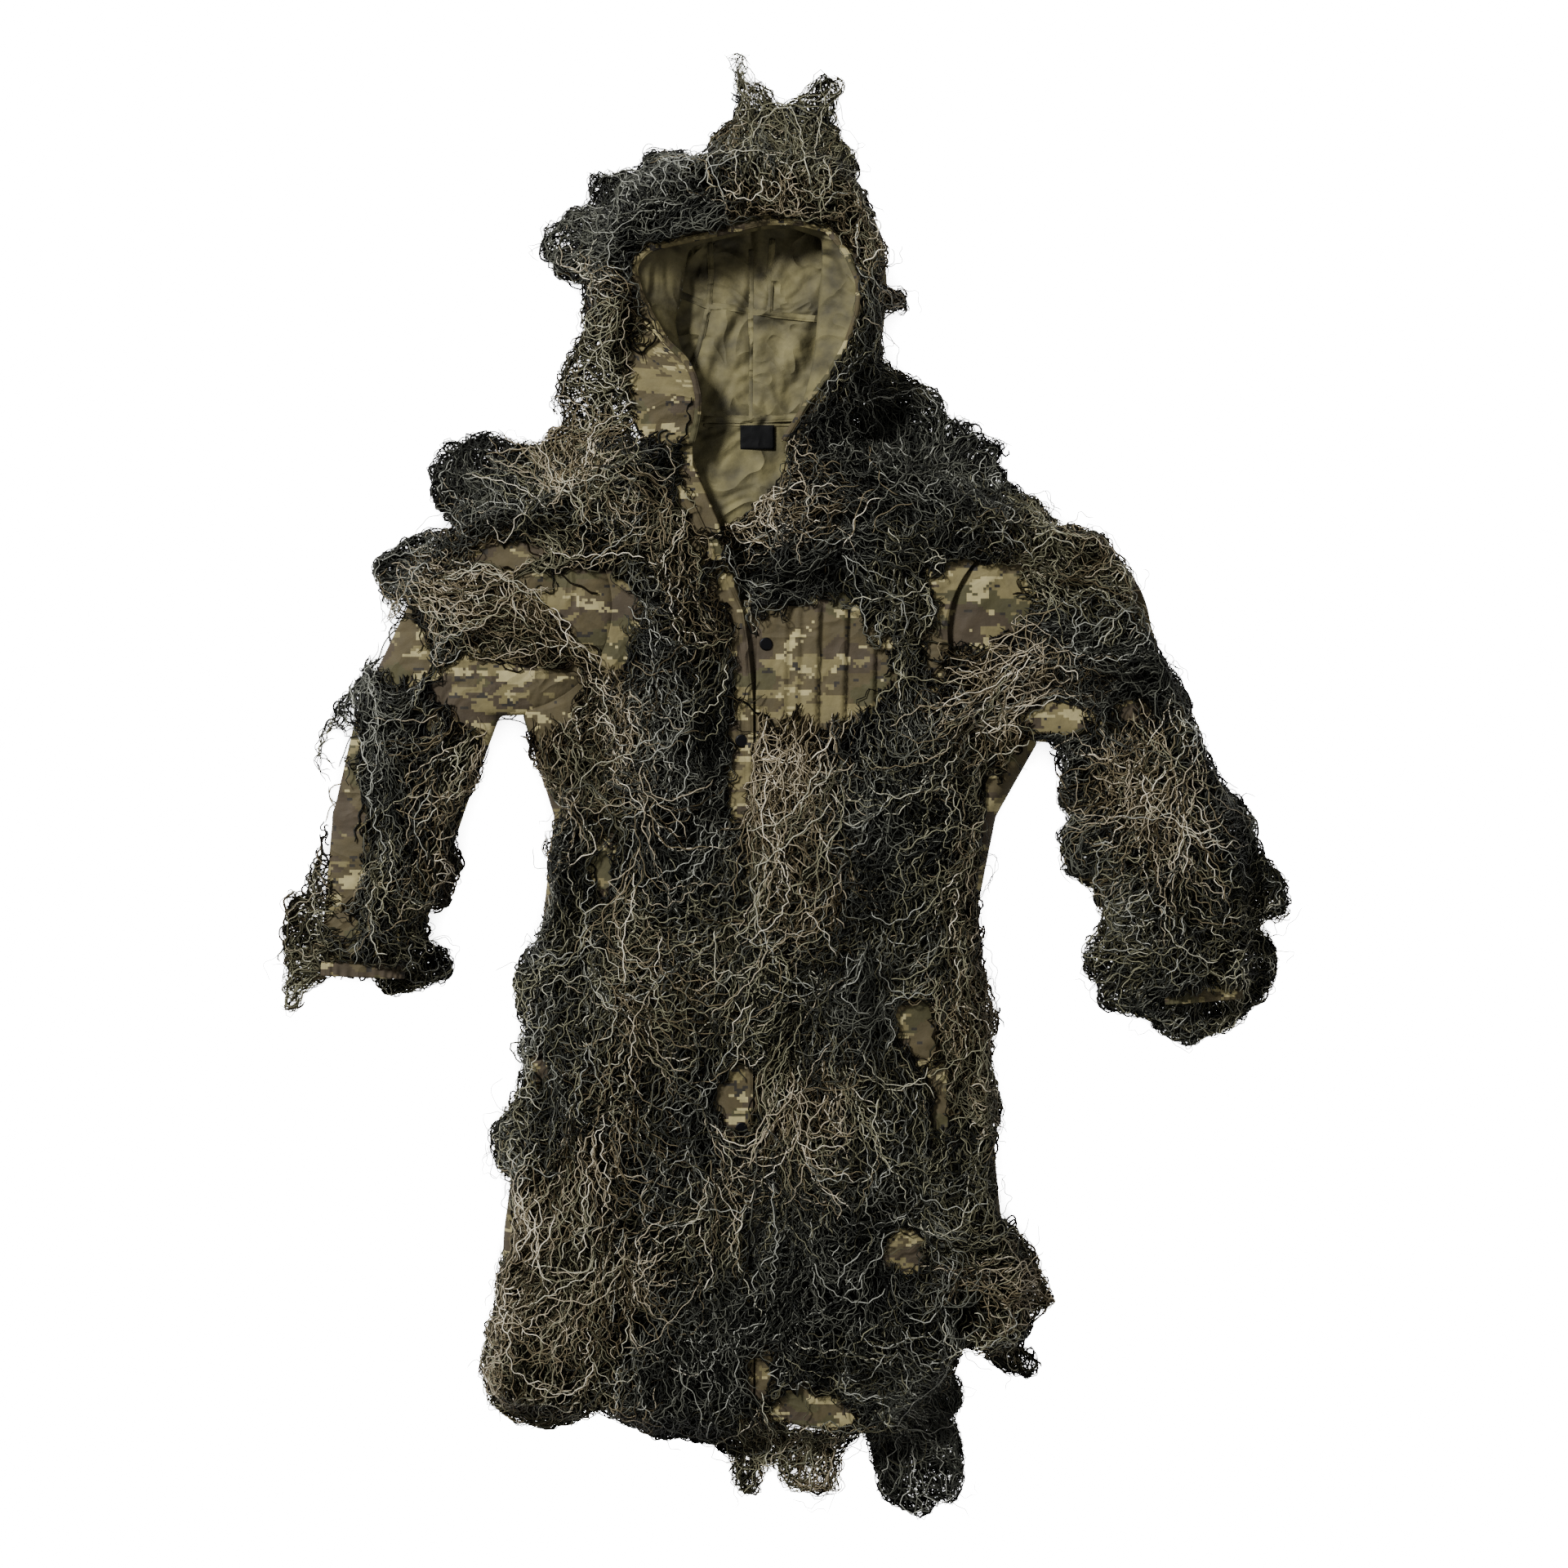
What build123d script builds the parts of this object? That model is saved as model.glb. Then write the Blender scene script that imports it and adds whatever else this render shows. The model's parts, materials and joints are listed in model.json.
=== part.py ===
from build123d import *
import math
import os

# A ghillie parka lying on its back with its front up: a hooded, knee-length camouflage coat with a snap
# front, elastic cuffs, and rows of sewn-on yarn over every panel.
#
# Frame, in millimetres: +Z up from the floor, +Y towards the hood, +X towards the wearer's left side.
# The origin is at the middle of the coat's footprint, on the floor.
# Cloth is drawn 2 mm thick. Each run of yarn is one slab, as thick as the pile that it stands for.

# ---- heights ----
CLOTH = 2.0                       # cloth thickness as drawn
BACK_PILE = 10.0                  # yarn pressed flat between the back and the floor
CAVITY = 24.0                     # room between front and back, where the wearer goes
FRONT_PILE = 28.0                 # yarn standing on the front
HOOD_RISE = 54.0                  # hood rim above the inside of the hood
HOOD_PILE = 78.0                  # top of the yarn round the hood
Z_INSIDE = BACK_PILE + CLOTH      # inside face of the back
Z_FRONT = Z_INSIDE + CAVITY       # underside of the front cloth
Z_FACE = Z_FRONT + CLOTH          # outer face of the front cloth
Z_PILE = Z_FACE + FRONT_PILE      # top of the yarn on the front
Z_RIM = Z_INSIDE + HOOD_RISE      # top of the hood's walls

# ---- joints ----
GAP = 0.8                         # clearance between pieces on different bodies
FAR = 3000.0                      # size of the shapes that cut along a plane
NECK_Y = 447.0                    # neck seam, which the hood turns about
HOOD_LEAN = 43.0                  # half the angle left free at the neck seam
FOLD_LEAN = 56.0                  # half the angle left free at the fold of a front
PIVOT = {"right": (-338.0, 217.0), "left": (330.0, 186.0)}
ARMHOLE_R = {"right": 136.0, "left": 138.0}
# The fold that each front turns about, from the neck to the hem.
FOLD = {"right": [(-118.0, 392.0), (-262.0, -762.0)], "left": [(16.0, 392.0), (196.0, -792.0)]}

# ---- outlines of the cloth ----
NECK = {"right": (-120.0, NECK_Y - 0.4), "left": (30.0, NECK_Y - 0.4)}
SHOULDER = {"right": (-305.0, 349.0), "left": (300.0, 321.0)}
SIDE_SEAM = {
    "right": [(-322.0, 82.0), (-284.0, -40.0), (-296.0, -150.0), (-350.0, -560.0), (-362.0, -742.0)],
    "left": [(312.0, 49.0), (262.0, -40.0), (240.0, -150.0), (276.0, -560.0), (312.0, -730.0)],
}
EDGE_X = {"right": -38.0, "left": -35.0}
FRONT_EDGE = {
    "right": [(-112.0, 392.0), (-80.0, 320.0), (-60.0, 245.0), (-46.0, 200.0), (EDGE_X["right"], 80.0)],
    "left": [(10.0, 392.0), (-4.0, 330.0), (-28.0, 245.0), (-33.0, 200.0), (EDGE_X["left"], 80.0)],
}
HEM = {
    "right": [(EDGE_X["right"], -780.0), (-200.0, -772.0)],
    "left": [(EDGE_X["left"], -780.0), (110.0, -790.0)],
}
SLEEVE_OUTER = {
    "right": [(-470.0, 236.0), (-505.0, 160.0), (-535.0, 90.0), (-560.0, -40.0)],
    "left": [(466.0, 200.0), (490.0, 120.0), (545.0, 20.0), (575.0, -80.0)],
}
SLEEVE_END = {"right": [(-575.0, -212.0), (-463.0, -216.0)], "left": [(578.0, -240.0), (466.0, -248.0)]}
SLEEVE_INNER = {
    "right": [(-428.0, -140.0), (-392.0, -30.0), (-350.0, 79.0)],
    "left": [(430.0, -160.0), (390.0, -50.0), (344.0, 46.0)],
}
CUFF_LENGTH = 26.0
CUFF_WALL = 1.5
ELASTIC_LENGTH = 18.0
ELASTIC_WALL = 1.4
ELBOW_Y = 20.0

# ---- outlines of the yarn beyond the cloth ----
SLEEVE_YARN = {
    "right": [
        (-390.0, 346.0), (-402.0, 408.0), (-452.0, 392.0), (-505.0, 300.0), (-512.0, 190.0), (-545.0, 90.0),
        (-578.0, -40.0), (-612.0, -120.0), (-625.0, -282.0), (-560.0, -286.0), (-500.0, -262.0),
        (-410.0, -256.0), (-402.0, -130.0), (-370.0, -60.0), (-368.0, 20.0), (-350.0, 79.0),
    ],
    "left": [
        (372.0, 320.0), (392.0, 344.0), (446.0, 300.0), (476.0, 236.0), (508.0, 180.0), (522.0, 100.0),
        (566.0, 60.0), (617.0, 0.0), (625.0, -120.0), (616.0, -240.0), (584.0, -322.0), (400.0, -318.0),
        (370.0, -220.0), (350.0, -120.0), (338.0, -40.0), (344.0, 46.0),
    ],
}
FRINGE = [
    (-350.0, -690.0), (-380.0, -742.0), (-366.0, -800.0), (-262.0, -838.0), (-80.0, -842.0),
    (-44.0, -884.0), (90.0, -880.0), (104.0, -905.0), (198.0, -905.0), (228.0, -812.0),
    (344.0, -744.0), (296.0, -680.0),
]
HOOD_YARN = [
    (-232.0, 456.0), (-290.0, 560.0), (-302.0, 660.0), (-268.0, 736.0), (-128.0, 786.0), (-76.0, 905.0),
    (-20.0, 905.0), (0.0, 876.0), (72.0, 868.0), (108.0, 780.0), (156.0, 600.0), (130.0, 456.0),
]
YARN_BANDS = {"upper": (60.0, FAR), "waist": (-340.0, 60.0), "skirt": (-FAR, -340.0)}
BARE_CHEST = [(-40.0, 80.0), (118.0, 80.0), (118.0, 226.0), (-40.0, 226.0)]
CROWN_Y = 690.0

# ---- hood: its foot on the floor and its rim, point for point round the crown ----
HOOD_MIDDLE = -42.0
HOOD_FOOT = [
    (-196.0, 448.0), (-214.0, 560.0), (-206.0, 680.0), (-130.0, 752.0), (-42.0, 768.0),
    (58.0, 752.0), (112.0, 680.0), (118.0, 560.0), (104.0, 448.0),
]
HOOD_RIM = [
    (-104.0, 448.0), (-132.0, 540.0), (-178.0, 618.0), (-120.0, 672.0), (-34.0, 686.0),
    (50.0, 678.0), (90.0, 618.0), (80.0, 540.0), (24.0, 448.0),
]
GUSSET_HALF = 38.0                # half width of the hood's centre panel
BINDING = (5.0, 3.0)              # width and height of the bound edge round the face

# ---- snaps, placket, label and neck tape ----
FACING = (24.0, 1.5)              # facing under the edge of the overlapping front: width and thickness
PLACKET = (46.0, 1.5)             # strip of the under front that carries the studs: width and thickness
PLACKET_DROP = 3.0                # from the facing down to the strip
PLACKET_TURN = 12.0               # width of the turned edge that joins the strip to the under front
PLACKET_Y = (-776.0, 74.0)
SNAP_FIRST = 53.0
SNAP_PITCH = 119.0
SNAP_COUNT = 7
SNAP_INSET = 14.0
TOP_SNAP = (-22.0, 172.0)
CAP = (8.0, 2.4)                  # radius and height of a snap's cap
SOCKET = (5.5, 1.8, 2.5)          # radius, height and hole radius of a socket
STUD = (4.5, 0.8, 2.1, 1.5)       # base radius and height, knob radius and height
POST = (4.5, 0.8)
LABEL = (42.0, 28.0, 0.8)
LABEL_AT = (-34.0, 426.0)
TAPE = (116.0, 4.0, 1.2)
SIDES = ("right", "left")

parts = {}


def polygon(points):
    """The face inside straight lines through the points."""
    return make_face(Polyline(*points, close=True))


def slab(face, low, high):
    """The face drawn up from one height to another."""
    return extrude(Pos(0, 0, low) * face, amount=high - low, dir=(0, 0, 1))


def disc(centre, radius):
    return Pos(*centre, 0) * Circle(radius)


def rod(centre, radius, low, high):
    return slab(disc(centre, radius), low, high)


def band(low, high):
    """The flat region between two places along the coat."""
    return Pos(0, (low + high) / 2, 0) * Rectangle(2 * FAR, high - low)


def column(low, high):
    """The flat region between two places across the coat."""
    return Pos((low + high) / 2, 0, 0) * Rectangle(high - low, 2 * FAR)


def frame_on(start, end, height=0.0):
    """A place at the line's start, with X along the line and Y to its left."""
    turn = math.degrees(math.atan2(end[1] - start[1], end[0] - start[0]))
    return Pos(*start, height) * Rot(0, 0, turn)


def left_of(start, end, shift):
    """The flat region to the left of a line that is first moved to the left by shift."""
    return frame_on(start, end) * Pos(0, FAR / 2 + shift, 0) * Rectangle(2 * FAR, FAR)


def room(start, end, height, lean, gap):
    """The solid to the left of a plane that stands on a line, less a gap, and leans to the line's right."""
    return frame_on(start, end, height) * Pos(0, -gap, 0) * Rot(lean, 0, 0) * Pos(0, FAR / 2, 0) * Box(
        2 * FAR, FAR, 2 * FAR
    )


def shrink(points, step):
    """The points moved towards the hood's middle by step, with both ends run out past the neck."""
    middle = Vector(HOOD_MIDDLE, 600.0)
    moved = [Vector(*point) + (middle - Vector(*point)).normalized() * step for point in points]
    moved = [(point.X, point.Y) for point in moved]
    moved[0] = (points[0][0] + step, points[0][1] - step)
    moved[-1] = (points[-1][0] - step, points[-1][1] - step)
    return moved


def keep(name, shape):
    """Store a sub-part as one solid, or as a compound where it is a group of separate solids."""
    solids = [solid for solid in shape.solids() if solid.volume > 1.0]
    parts[name] = solids[0] if len(solids) == 1 else Compound(children=solids)


def armholes(face):
    """A face with both armholes cut out as arcs about the shoulder pivots."""
    for side in SIDES:
        face -= disc(PIVOT[side], ARMHOLE_R[side] + GAP)
    return face


def coat_outline():
    """The back's outline, without the sleeves or hood."""
    right = [NECK["right"], SHOULDER["right"]] + SIDE_SEAM["right"] + HEM["right"][::-1]
    left = HEM["left"] + SIDE_SEAM["left"][::-1] + [SHOULDER["left"], NECK["left"]]
    return armholes(polygon(right + left))


def front_outline(side):
    """One front, from its side seam to its front edge."""
    points = [NECK[side]] + FRONT_EDGE[side] + HEM[side] + SIDE_SEAM[side][::-1] + [SHOULDER[side]]
    return armholes(polygon(points))


def flap_region(side, shift):
    """The flat region between a front's fold, moved towards the middle by shift, and the middle."""
    start, end = FOLD[side] if side == "right" else FOLD[side][::-1]
    return left_of(start, end, shift)


def fold_room(side, on_flap):
    """What the yarn beside a fold leaves free, on the flap or on the coat."""
    start, end = FOLD[side][::-1] if (side == "right") == on_flap else FOLD[side]
    return room(start, end, Z_FACE, FOLD_LEAN, 1.0)


def neck_room(on_hood):
    """What the hood, or the coat, leaves free at the neck seam."""
    ends = [(-1.0, NECK_Y), (1.0, NECK_Y)]
    start, end = ends[::-1] if on_hood else ends
    return room(start, end, Z_INSIDE, HOOD_LEAN, GAP / 2)


def seam_wall(points, shift):
    """The cloth that turns up along a seam, from the back to the front."""
    inner = [(x + shift[0], y + shift[1]) for x, y in points]
    return slab(polygon(points + inner[::-1]), Z_INSIDE, Z_FRONT + 0.5)


def make_back():
    outline = coat_outline()
    pressed = (outline & band(-FAR, NECK_Y - 6)) + polygon(FRINGE)
    split = YARN_BANDS["skirt"][1]
    keep("back_panel", slab(outline, BACK_PILE, Z_INSIDE))
    keep("back_upper_yarn", slab(pressed & band(split, FAR), 0, BACK_PILE))
    keep("back_skirt_yarn", slab(pressed & band(-FAR, split), 0, BACK_PILE))
    label = Pos(*LABEL_AT, Z_INSIDE + LABEL[2] / 2) * Box(*LABEL)
    tape_y = NECK_Y - GAP - TAPE[1] / 2
    keep("neck_label", label)
    keep("neck_tape", Pos(LABEL_AT[0], tape_y, Z_INSIDE + TAPE[2] / 2) * Box(*TAPE) - neck_room(False))


def make_side_panel(side):
    """The part of a front that stays on the coat, with the side and shoulder seams that join it on."""
    inward = CLOTH if side == "right" else -CLOTH
    lid = slab(front_outline(side) - flap_region(side, -GAP / 2), Z_FRONT, Z_FACE)
    side_wall = seam_wall(SIDE_SEAM[side], (inward, 0))
    shoulder_wall = seam_wall([NECK[side], SHOULDER[side]], (0, -CLOTH))
    panel = lid + side_wall + shoulder_wall
    for arm in SIDES:
        panel -= rod(PIVOT[arm], ARMHOLE_R[arm] + GAP, 0, FAR)
    keep(f"{side}_side_panel", panel - neck_room(False))


def make_side_yarn(side):
    """The yarn on the part of a front that stays on the coat, in three bands."""
    face = (front_outline(side) + polygon(FRINGE)) - flap_region(side, -GAP / 2)
    face &= column(-FAR, HOOD_MIDDLE) if side == "right" else column(HOOD_MIDDLE, FAR)
    if side == "left":
        face -= polygon(BARE_CHEST)
    pile = slab(face, Z_FACE, Z_PILE) - fold_room(side, False) - neck_room(False)
    for name, (low, high) in YARN_BANDS.items():
        keep(f"{side}_side_{name}_yarn", pile & slab(band(low, high), 0, FAR))


def make_front(side):
    """The part of a front that turns back about its fold, with its yarn."""
    flap = flap_region(side, GAP / 2)
    keep(f"{side}_front_panel", slab(front_outline(side) & flap, Z_FRONT, Z_FACE))
    half = column(-FAR, EDGE_X["right"]) if side == "right" else column(EDGE_X["left"], FAR)
    face = (front_outline(side) + polygon(FRINGE)) & flap & half
    if side == "right":
        face -= column(EDGE_X["right"] - FACING[0] - 2, FAR) & band(HEM["right"][0][1], FAR)
    else:
        face -= polygon(BARE_CHEST)
    pile = slab(face, Z_FACE, Z_PILE) - fold_room(side, True)
    for name, (low, high) in YARN_BANDS.items():
        keep(f"{side}_front_{name}_yarn", pile & slab(band(low, high), 0, FAR))


def make_snap_front():
    """The facing, the stud strip, and the snaps that close the front."""
    facing_low = Z_FRONT - FACING[1]
    strip_high = facing_low - PLACKET_DROP
    strip_low = strip_high - PLACKET[1]
    edge = EDGE_X["right"]
    length = band(*PLACKET_Y)
    keep("right_front_facing", slab(column(edge - FACING[0], edge) & length, facing_low, Z_FRONT))
    strip = slab(column(edge - PLACKET[0], EDGE_X["left"] + 3 + PLACKET_TURN) & length, strip_low, strip_high)
    turn = column(EDGE_X["left"] + 3, EDGE_X["left"] + 3 + PLACKET_TURN) & length
    keep("left_front_placket", strip + slab(turn, strip_low, Z_FRONT))
    caps, sockets, studs, posts = [], [], [], []
    for index in range(SNAP_COUNT):
        at = (edge - SNAP_INSET, SNAP_FIRST - SNAP_PITCH * index)
        caps.append(snap_cap(at))
        hole = rod(at, SOCKET[2], 0, facing_low - 0.4)
        sockets.append(rod(at, SOCKET[0], facing_low - SOCKET[1], facing_low) - hole)
        base_top = strip_high + STUD[1]
        studs.append(rod(at, STUD[0], strip_high, base_top) + rod(at, STUD[2], strip_high, base_top + STUD[3]))
        posts.append(rod(at, POST[0], strip_low - POST[1], strip_low))
    groups = {"snap_caps": caps, "snap_sockets": sockets, "snap_studs": studs, "snap_posts": posts}
    for name, solids in groups.items():
        parts[name] = Compound(children=[biggest for shape in solids for biggest in shape.solids()])
    keep("top_snap_cap", snap_cap(TOP_SNAP))


def snap_cap(at):
    cap = rod(at, CAP[0], Z_FACE, Z_FACE + CAP[1])
    return fillet(cap.faces().sort_by(Axis.Z)[-1].edges(), CAP[1] * 0.7)


def make_sleeve(side):
    """A sleeve as a flattened tube with a round head in the armhole, its cuff and its yarn."""
    head = disc(PIVOT[side], ARMHOLE_R[side])
    outline = polygon(SLEEVE_OUTER[side] + SLEEVE_END[side] + SLEEVE_INNER[side]) + head
    start, end = SLEEVE_END[side]
    place = frame_on(start, end)
    width = (Vector(*end) - Vector(*start)).length
    out = -1.0 if side == "right" else 1.0
    past_end = place * Pos(width / 2, out * 10, 0) * Rectangle(width - 2 * CLOTH, 30)
    to_body = disc(PIVOT[side], ARMHOLE_R[side] + 5)
    pivot_x = PIVOT[side][0]
    to_body &= column(pivot_x + 25, FAR) if side == "right" else column(-FAR, pivot_x - 25)
    inside = offset(outline, -CLOTH, kind=Kind.INTERSECTION) + past_end + to_body
    tube = slab(outline, BACK_PILE, Z_FACE) - slab(inside, Z_INSIDE, Z_FRONT)
    keep(f"{side}_sleeve_cloth", tube)
    middle = place * Pos(width / 2, out * (CUFF_LENGTH / 2 + 0.3), (BACK_PILE + Z_FACE) / 2)
    height = CAVITY + CLOTH
    keep(f"{side}_cuff", middle * flat_tube(width - 2, CUFF_LENGTH, height, CUFF_WALL))
    keep(
        f"{side}_cuff_elastic",
        middle * flat_tube(width - 2 - 2 * CUFF_WALL, ELASTIC_LENGTH, height - 2 * CUFF_WALL, ELASTIC_WALL),
    )
    pile = polygon(SLEEVE_YARN[side]) + head
    keep(f"{side}_sleeve_back_yarn", slab(pile, 0, BACK_PILE))
    keep(f"{side}_upper_arm_yarn", slab(pile & band(ELBOW_Y, FAR), Z_FACE, Z_PILE))
    keep(f"{side}_forearm_yarn", slab(pile & band(-FAR, ELBOW_Y), Z_FACE, Z_PILE))


def flat_tube(width, length, height, wall):
    """A flattened tube along Y."""
    return Box(width, length, height) - Box(width - 2 * wall, length + 2, height - 2 * wall)


def make_hood():
    """The hood lying open: three panels, the bound edge round the face, and yarn all round."""
    foot, rim = polygon(HOOD_FOOT), polygon(HOOD_RIM)
    outer = loft([Pos(0, 0, Z_INSIDE) * foot, Pos(0, 0, Z_RIM) * rim], ruled=True)
    wall = 1.5 * CLOTH
    inner_faces = [
        Pos(0, 0, Z_INSIDE) * polygon(shrink(HOOD_FOOT, wall)),
        Pos(0, 0, Z_RIM) * polygon(shrink(HOOD_RIM, wall)),
    ]
    inner = loft(inner_faces, ruled=True)
    free = neck_room(True)
    shell = slab(foot, BACK_PILE, Z_INSIDE) + (outer - inner) - free
    seams = (HOOD_MIDDLE - GUSSET_HALF, HOOD_MIDDLE + GUSSET_HALF)
    keep("hood_right_side", shell & slab(column(-FAR, seams[0]), 0, FAR))
    keep("hood_centre_panel", shell & slab(column(*seams), 0, FAR))
    keep("hood_left_side", shell & slab(column(seams[1], FAR), 0, FAR))
    ring = rim - polygon(shrink(HOOD_RIM, BINDING[0]))
    keep("hood_edge_binding", slab(ring, Z_RIM, Z_RIM + BINDING[1]) - free)
    keep("hood_back_yarn", slab(foot & band(NECK_Y + 1, FAR), 0, BACK_PILE))
    pile = slab(polygon(HOOD_YARN), 0, HOOD_PILE) - slab(foot, -1, Z_INSIDE) - outer - slab(rim, Z_RIM, FAR)
    pile -= free
    keep("hood_crown_yarn", pile & slab(band(CROWN_Y, FAR), 0, FAR))
    lower = pile & slab(band(0, CROWN_Y), 0, FAR)
    keep("hood_right_yarn", lower & slab(column(-FAR, HOOD_MIDDLE), 0, FAR))
    keep("hood_left_yarn", lower & slab(column(HOOD_MIDDLE, FAR), 0, FAR))


make_back()
for side in SIDES:
    make_side_panel(side)
    make_side_yarn(side)
    make_front(side)
    make_sleeve(side)
make_snap_front()
make_hood()

os.makedirs("parts", exist_ok=True)
for name, shape in parts.items():
    export_step(shape, f"parts/{name}.step")
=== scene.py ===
import json
import math

import bpy
import numpy as np
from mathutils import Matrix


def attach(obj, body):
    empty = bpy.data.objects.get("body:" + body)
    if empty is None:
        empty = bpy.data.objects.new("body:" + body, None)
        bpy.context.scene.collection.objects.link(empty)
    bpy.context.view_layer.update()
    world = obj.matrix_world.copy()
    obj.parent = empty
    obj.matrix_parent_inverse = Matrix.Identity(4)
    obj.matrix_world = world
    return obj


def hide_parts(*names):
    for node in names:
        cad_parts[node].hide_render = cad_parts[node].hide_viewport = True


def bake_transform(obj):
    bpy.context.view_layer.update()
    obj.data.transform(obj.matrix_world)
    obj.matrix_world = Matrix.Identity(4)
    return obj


# A ghillie parka lying on its back, front up. Metres: +X towards the wearer's left, +Y towards the hood.
# Cloth and yarn are worked out in millimetres and turned into metres when their meshes are made.

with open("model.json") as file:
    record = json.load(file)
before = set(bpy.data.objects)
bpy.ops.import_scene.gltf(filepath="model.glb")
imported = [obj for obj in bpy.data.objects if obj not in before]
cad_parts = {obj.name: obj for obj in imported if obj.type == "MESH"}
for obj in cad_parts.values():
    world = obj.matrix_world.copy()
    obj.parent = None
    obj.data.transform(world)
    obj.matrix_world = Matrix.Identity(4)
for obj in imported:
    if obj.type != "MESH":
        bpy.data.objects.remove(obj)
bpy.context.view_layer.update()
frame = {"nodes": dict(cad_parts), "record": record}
rng = np.random.default_rng(23)
MM = 0.001


# ---------------------------------------------------------------- nodes

def linear(code):
    """A hexadecimal screen colour as linear red, green and blue."""
    values = [int(code[i : i + 2], 16) / 255 for i in (0, 2, 4)]
    return [v / 12.92 if v <= 0.04045 else ((v + 0.055) / 1.055) ** 2.4 for v in values]


def plain(name, code, roughness, **extra):
    """A material of one colour. Extra names are sockets of its shader, with _ for a space."""
    material = bpy.data.materials.new(name)
    material.use_nodes = True
    surface = shader(material)
    surface.inputs["Base Color"].default_value = (*linear(code), 1)
    surface.inputs["Roughness"].default_value = roughness
    for key, value in extra.items():
        surface.inputs[key.replace("_", " ")].default_value = value
    return material


def shader(material):
    return material.node_tree.nodes["Principled BSDF"]


def add(tree, kind, **settings):
    """A new node. A setting is a socket's value where one has that name, with _ for a space, or a property."""
    node = tree.nodes.new(kind)
    for key, value in settings.items():
        socket = key.replace("_", " ")
        if socket in node.inputs:
            node.inputs[socket].default_value = value
        else:
            setattr(node, key, value)
    return node


def cloth_map(tree):
    """Coordinates on the cloth, in metres along its threads."""
    return add(tree, "ShaderNodeUVMap", uv_map="cloth").outputs[0]


def noise_on(tree, place, **settings):
    noise = add(tree, "ShaderNodeTexNoise", **settings)
    tree.links.new(place, noise.inputs["Vector"])
    return noise.outputs[0]


def mapped(tree, value, low, high, **settings):
    """A value from 0 to 1 brought between two others."""
    node = add(tree, "ShaderNodeMapRange", To_Min=low, To_Max=high, **settings)
    tree.links.new(value, node.inputs["Value"])
    return node.outputs[0]


# ---------------------------------------------------------------- camera, floor and light

PICTURE_WIDTH = 1.92
CAMERA_HEIGHT = 4.2
COAT_LEVEL = 0.05
SENSOR = 36
LIGHTS = {
    # name: watts, size, place
    "key": (760.0, 1.1, (-3.4, 3.2, 3.9)),
    "fill": (60.0, 3.0, (2.6, -2.2, 3.4)),
}


def make_camera():
    data = bpy.data.cameras.new("camera")
    data.sensor_width = SENSOR
    data.lens = SENSOR * (CAMERA_HEIGHT - COAT_LEVEL) / PICTURE_WIDTH
    camera = bpy.data.objects.new("camera", data)
    camera.location = (0, 0, CAMERA_HEIGHT)
    bpy.context.scene.collection.objects.link(camera)
    bpy.context.scene.camera = camera


def make_world():
    world = bpy.data.worlds.new("studio")
    world.use_nodes = True
    world.node_tree.nodes["Background"].inputs["Color"].default_value = (1.0, 1.0, 1.0, 1)
    world.node_tree.nodes["Background"].inputs["Strength"].default_value = 0.17
    bpy.context.scene.world = world


def make_light(name, energy, size, place):
    """A square lamp turned towards the origin."""
    data = bpy.data.lights.new(name, "AREA")
    data.energy = energy
    data.size = size
    light = bpy.data.objects.new(name, data)
    light.location = place
    x, y, z = place
    light.rotation_euler = (math.atan2(math.hypot(x, y), z), 0, math.atan2(x, -y))
    bpy.context.scene.collection.objects.link(light)


def floor_material():
    """A white sweep, lit from below as on a light table, with a faint shade where the coat lies close to it."""
    material = bpy.data.materials.new("floor")
    material.use_nodes = True
    tree = material.node_tree
    surface = shader(material)
    surface.inputs["Base Color"].default_value = (0.85, 0.85, 0.85, 1)
    surface.inputs["Roughness"].default_value = 0.9
    near = add(tree, "ShaderNodeAmbientOcclusion", Distance=0.05, samples=6)
    strength = mapped(tree, near.outputs["AO"], 2.5, 26.0, From_Min=0.25, From_Max=0.95)
    glow = add(tree, "ShaderNodeEmission")
    seen = add(tree, "ShaderNodeLightPath")
    mix = add(tree, "ShaderNodeMixShader")
    tree.links.new(strength, glow.inputs["Strength"])
    tree.links.new(seen.outputs["Is Camera Ray"], mix.inputs[0])
    tree.links.new(surface.outputs[0], mix.inputs[1])
    tree.links.new(glow.outputs[0], mix.inputs[2])
    tree.links.new(mix.outputs[0], tree.nodes["Material Output"].inputs["Surface"])
    return material


def make_floor():
    bpy.ops.mesh.primitive_plane_add(size=14, location=(0, 0, -0.0005))
    floor = bpy.context.object
    floor.name = "floor"
    floor.data.materials.append(floor_material())


# ---------------------------------------------------------------- materials

# Five steps of each yarn colour, from dark to pale. Besides the yarn's own tones, the darkest steps are painted
# shade for yarn deep in the pile and the palest are painted highlights for the top threads.
YARN_TONES = {
    "k": ["060605", "151613", "2c2d27", "56574d", "95968b"],
    "o": ["0c0b07", "252417", "484634", "7a7860", "b3b099"],
    "b": ["141008", "3a3221", "6c624b", "a2977f", "dbd2ba"],
}
TONE_NAMES = {"k": "black", "o": "olive", "b": "brown"}
TONE_COUNT = 5
RASTER = 0.0034


def make_yarn_materials():
    """One plain tone for each step of each colour, from painted shade to painted highlight, the paler ones with
    more gloss.
    """
    made = []
    for family, codes in YARN_TONES.items():
        for step, code in enumerate(codes):
            name = f"yarn_{TONE_NAMES[family]}_{step}"
            made.append(plain(name, code, 0.5, Specular_IOR_Level=0.05 + 0.08 * step))
    return made


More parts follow.
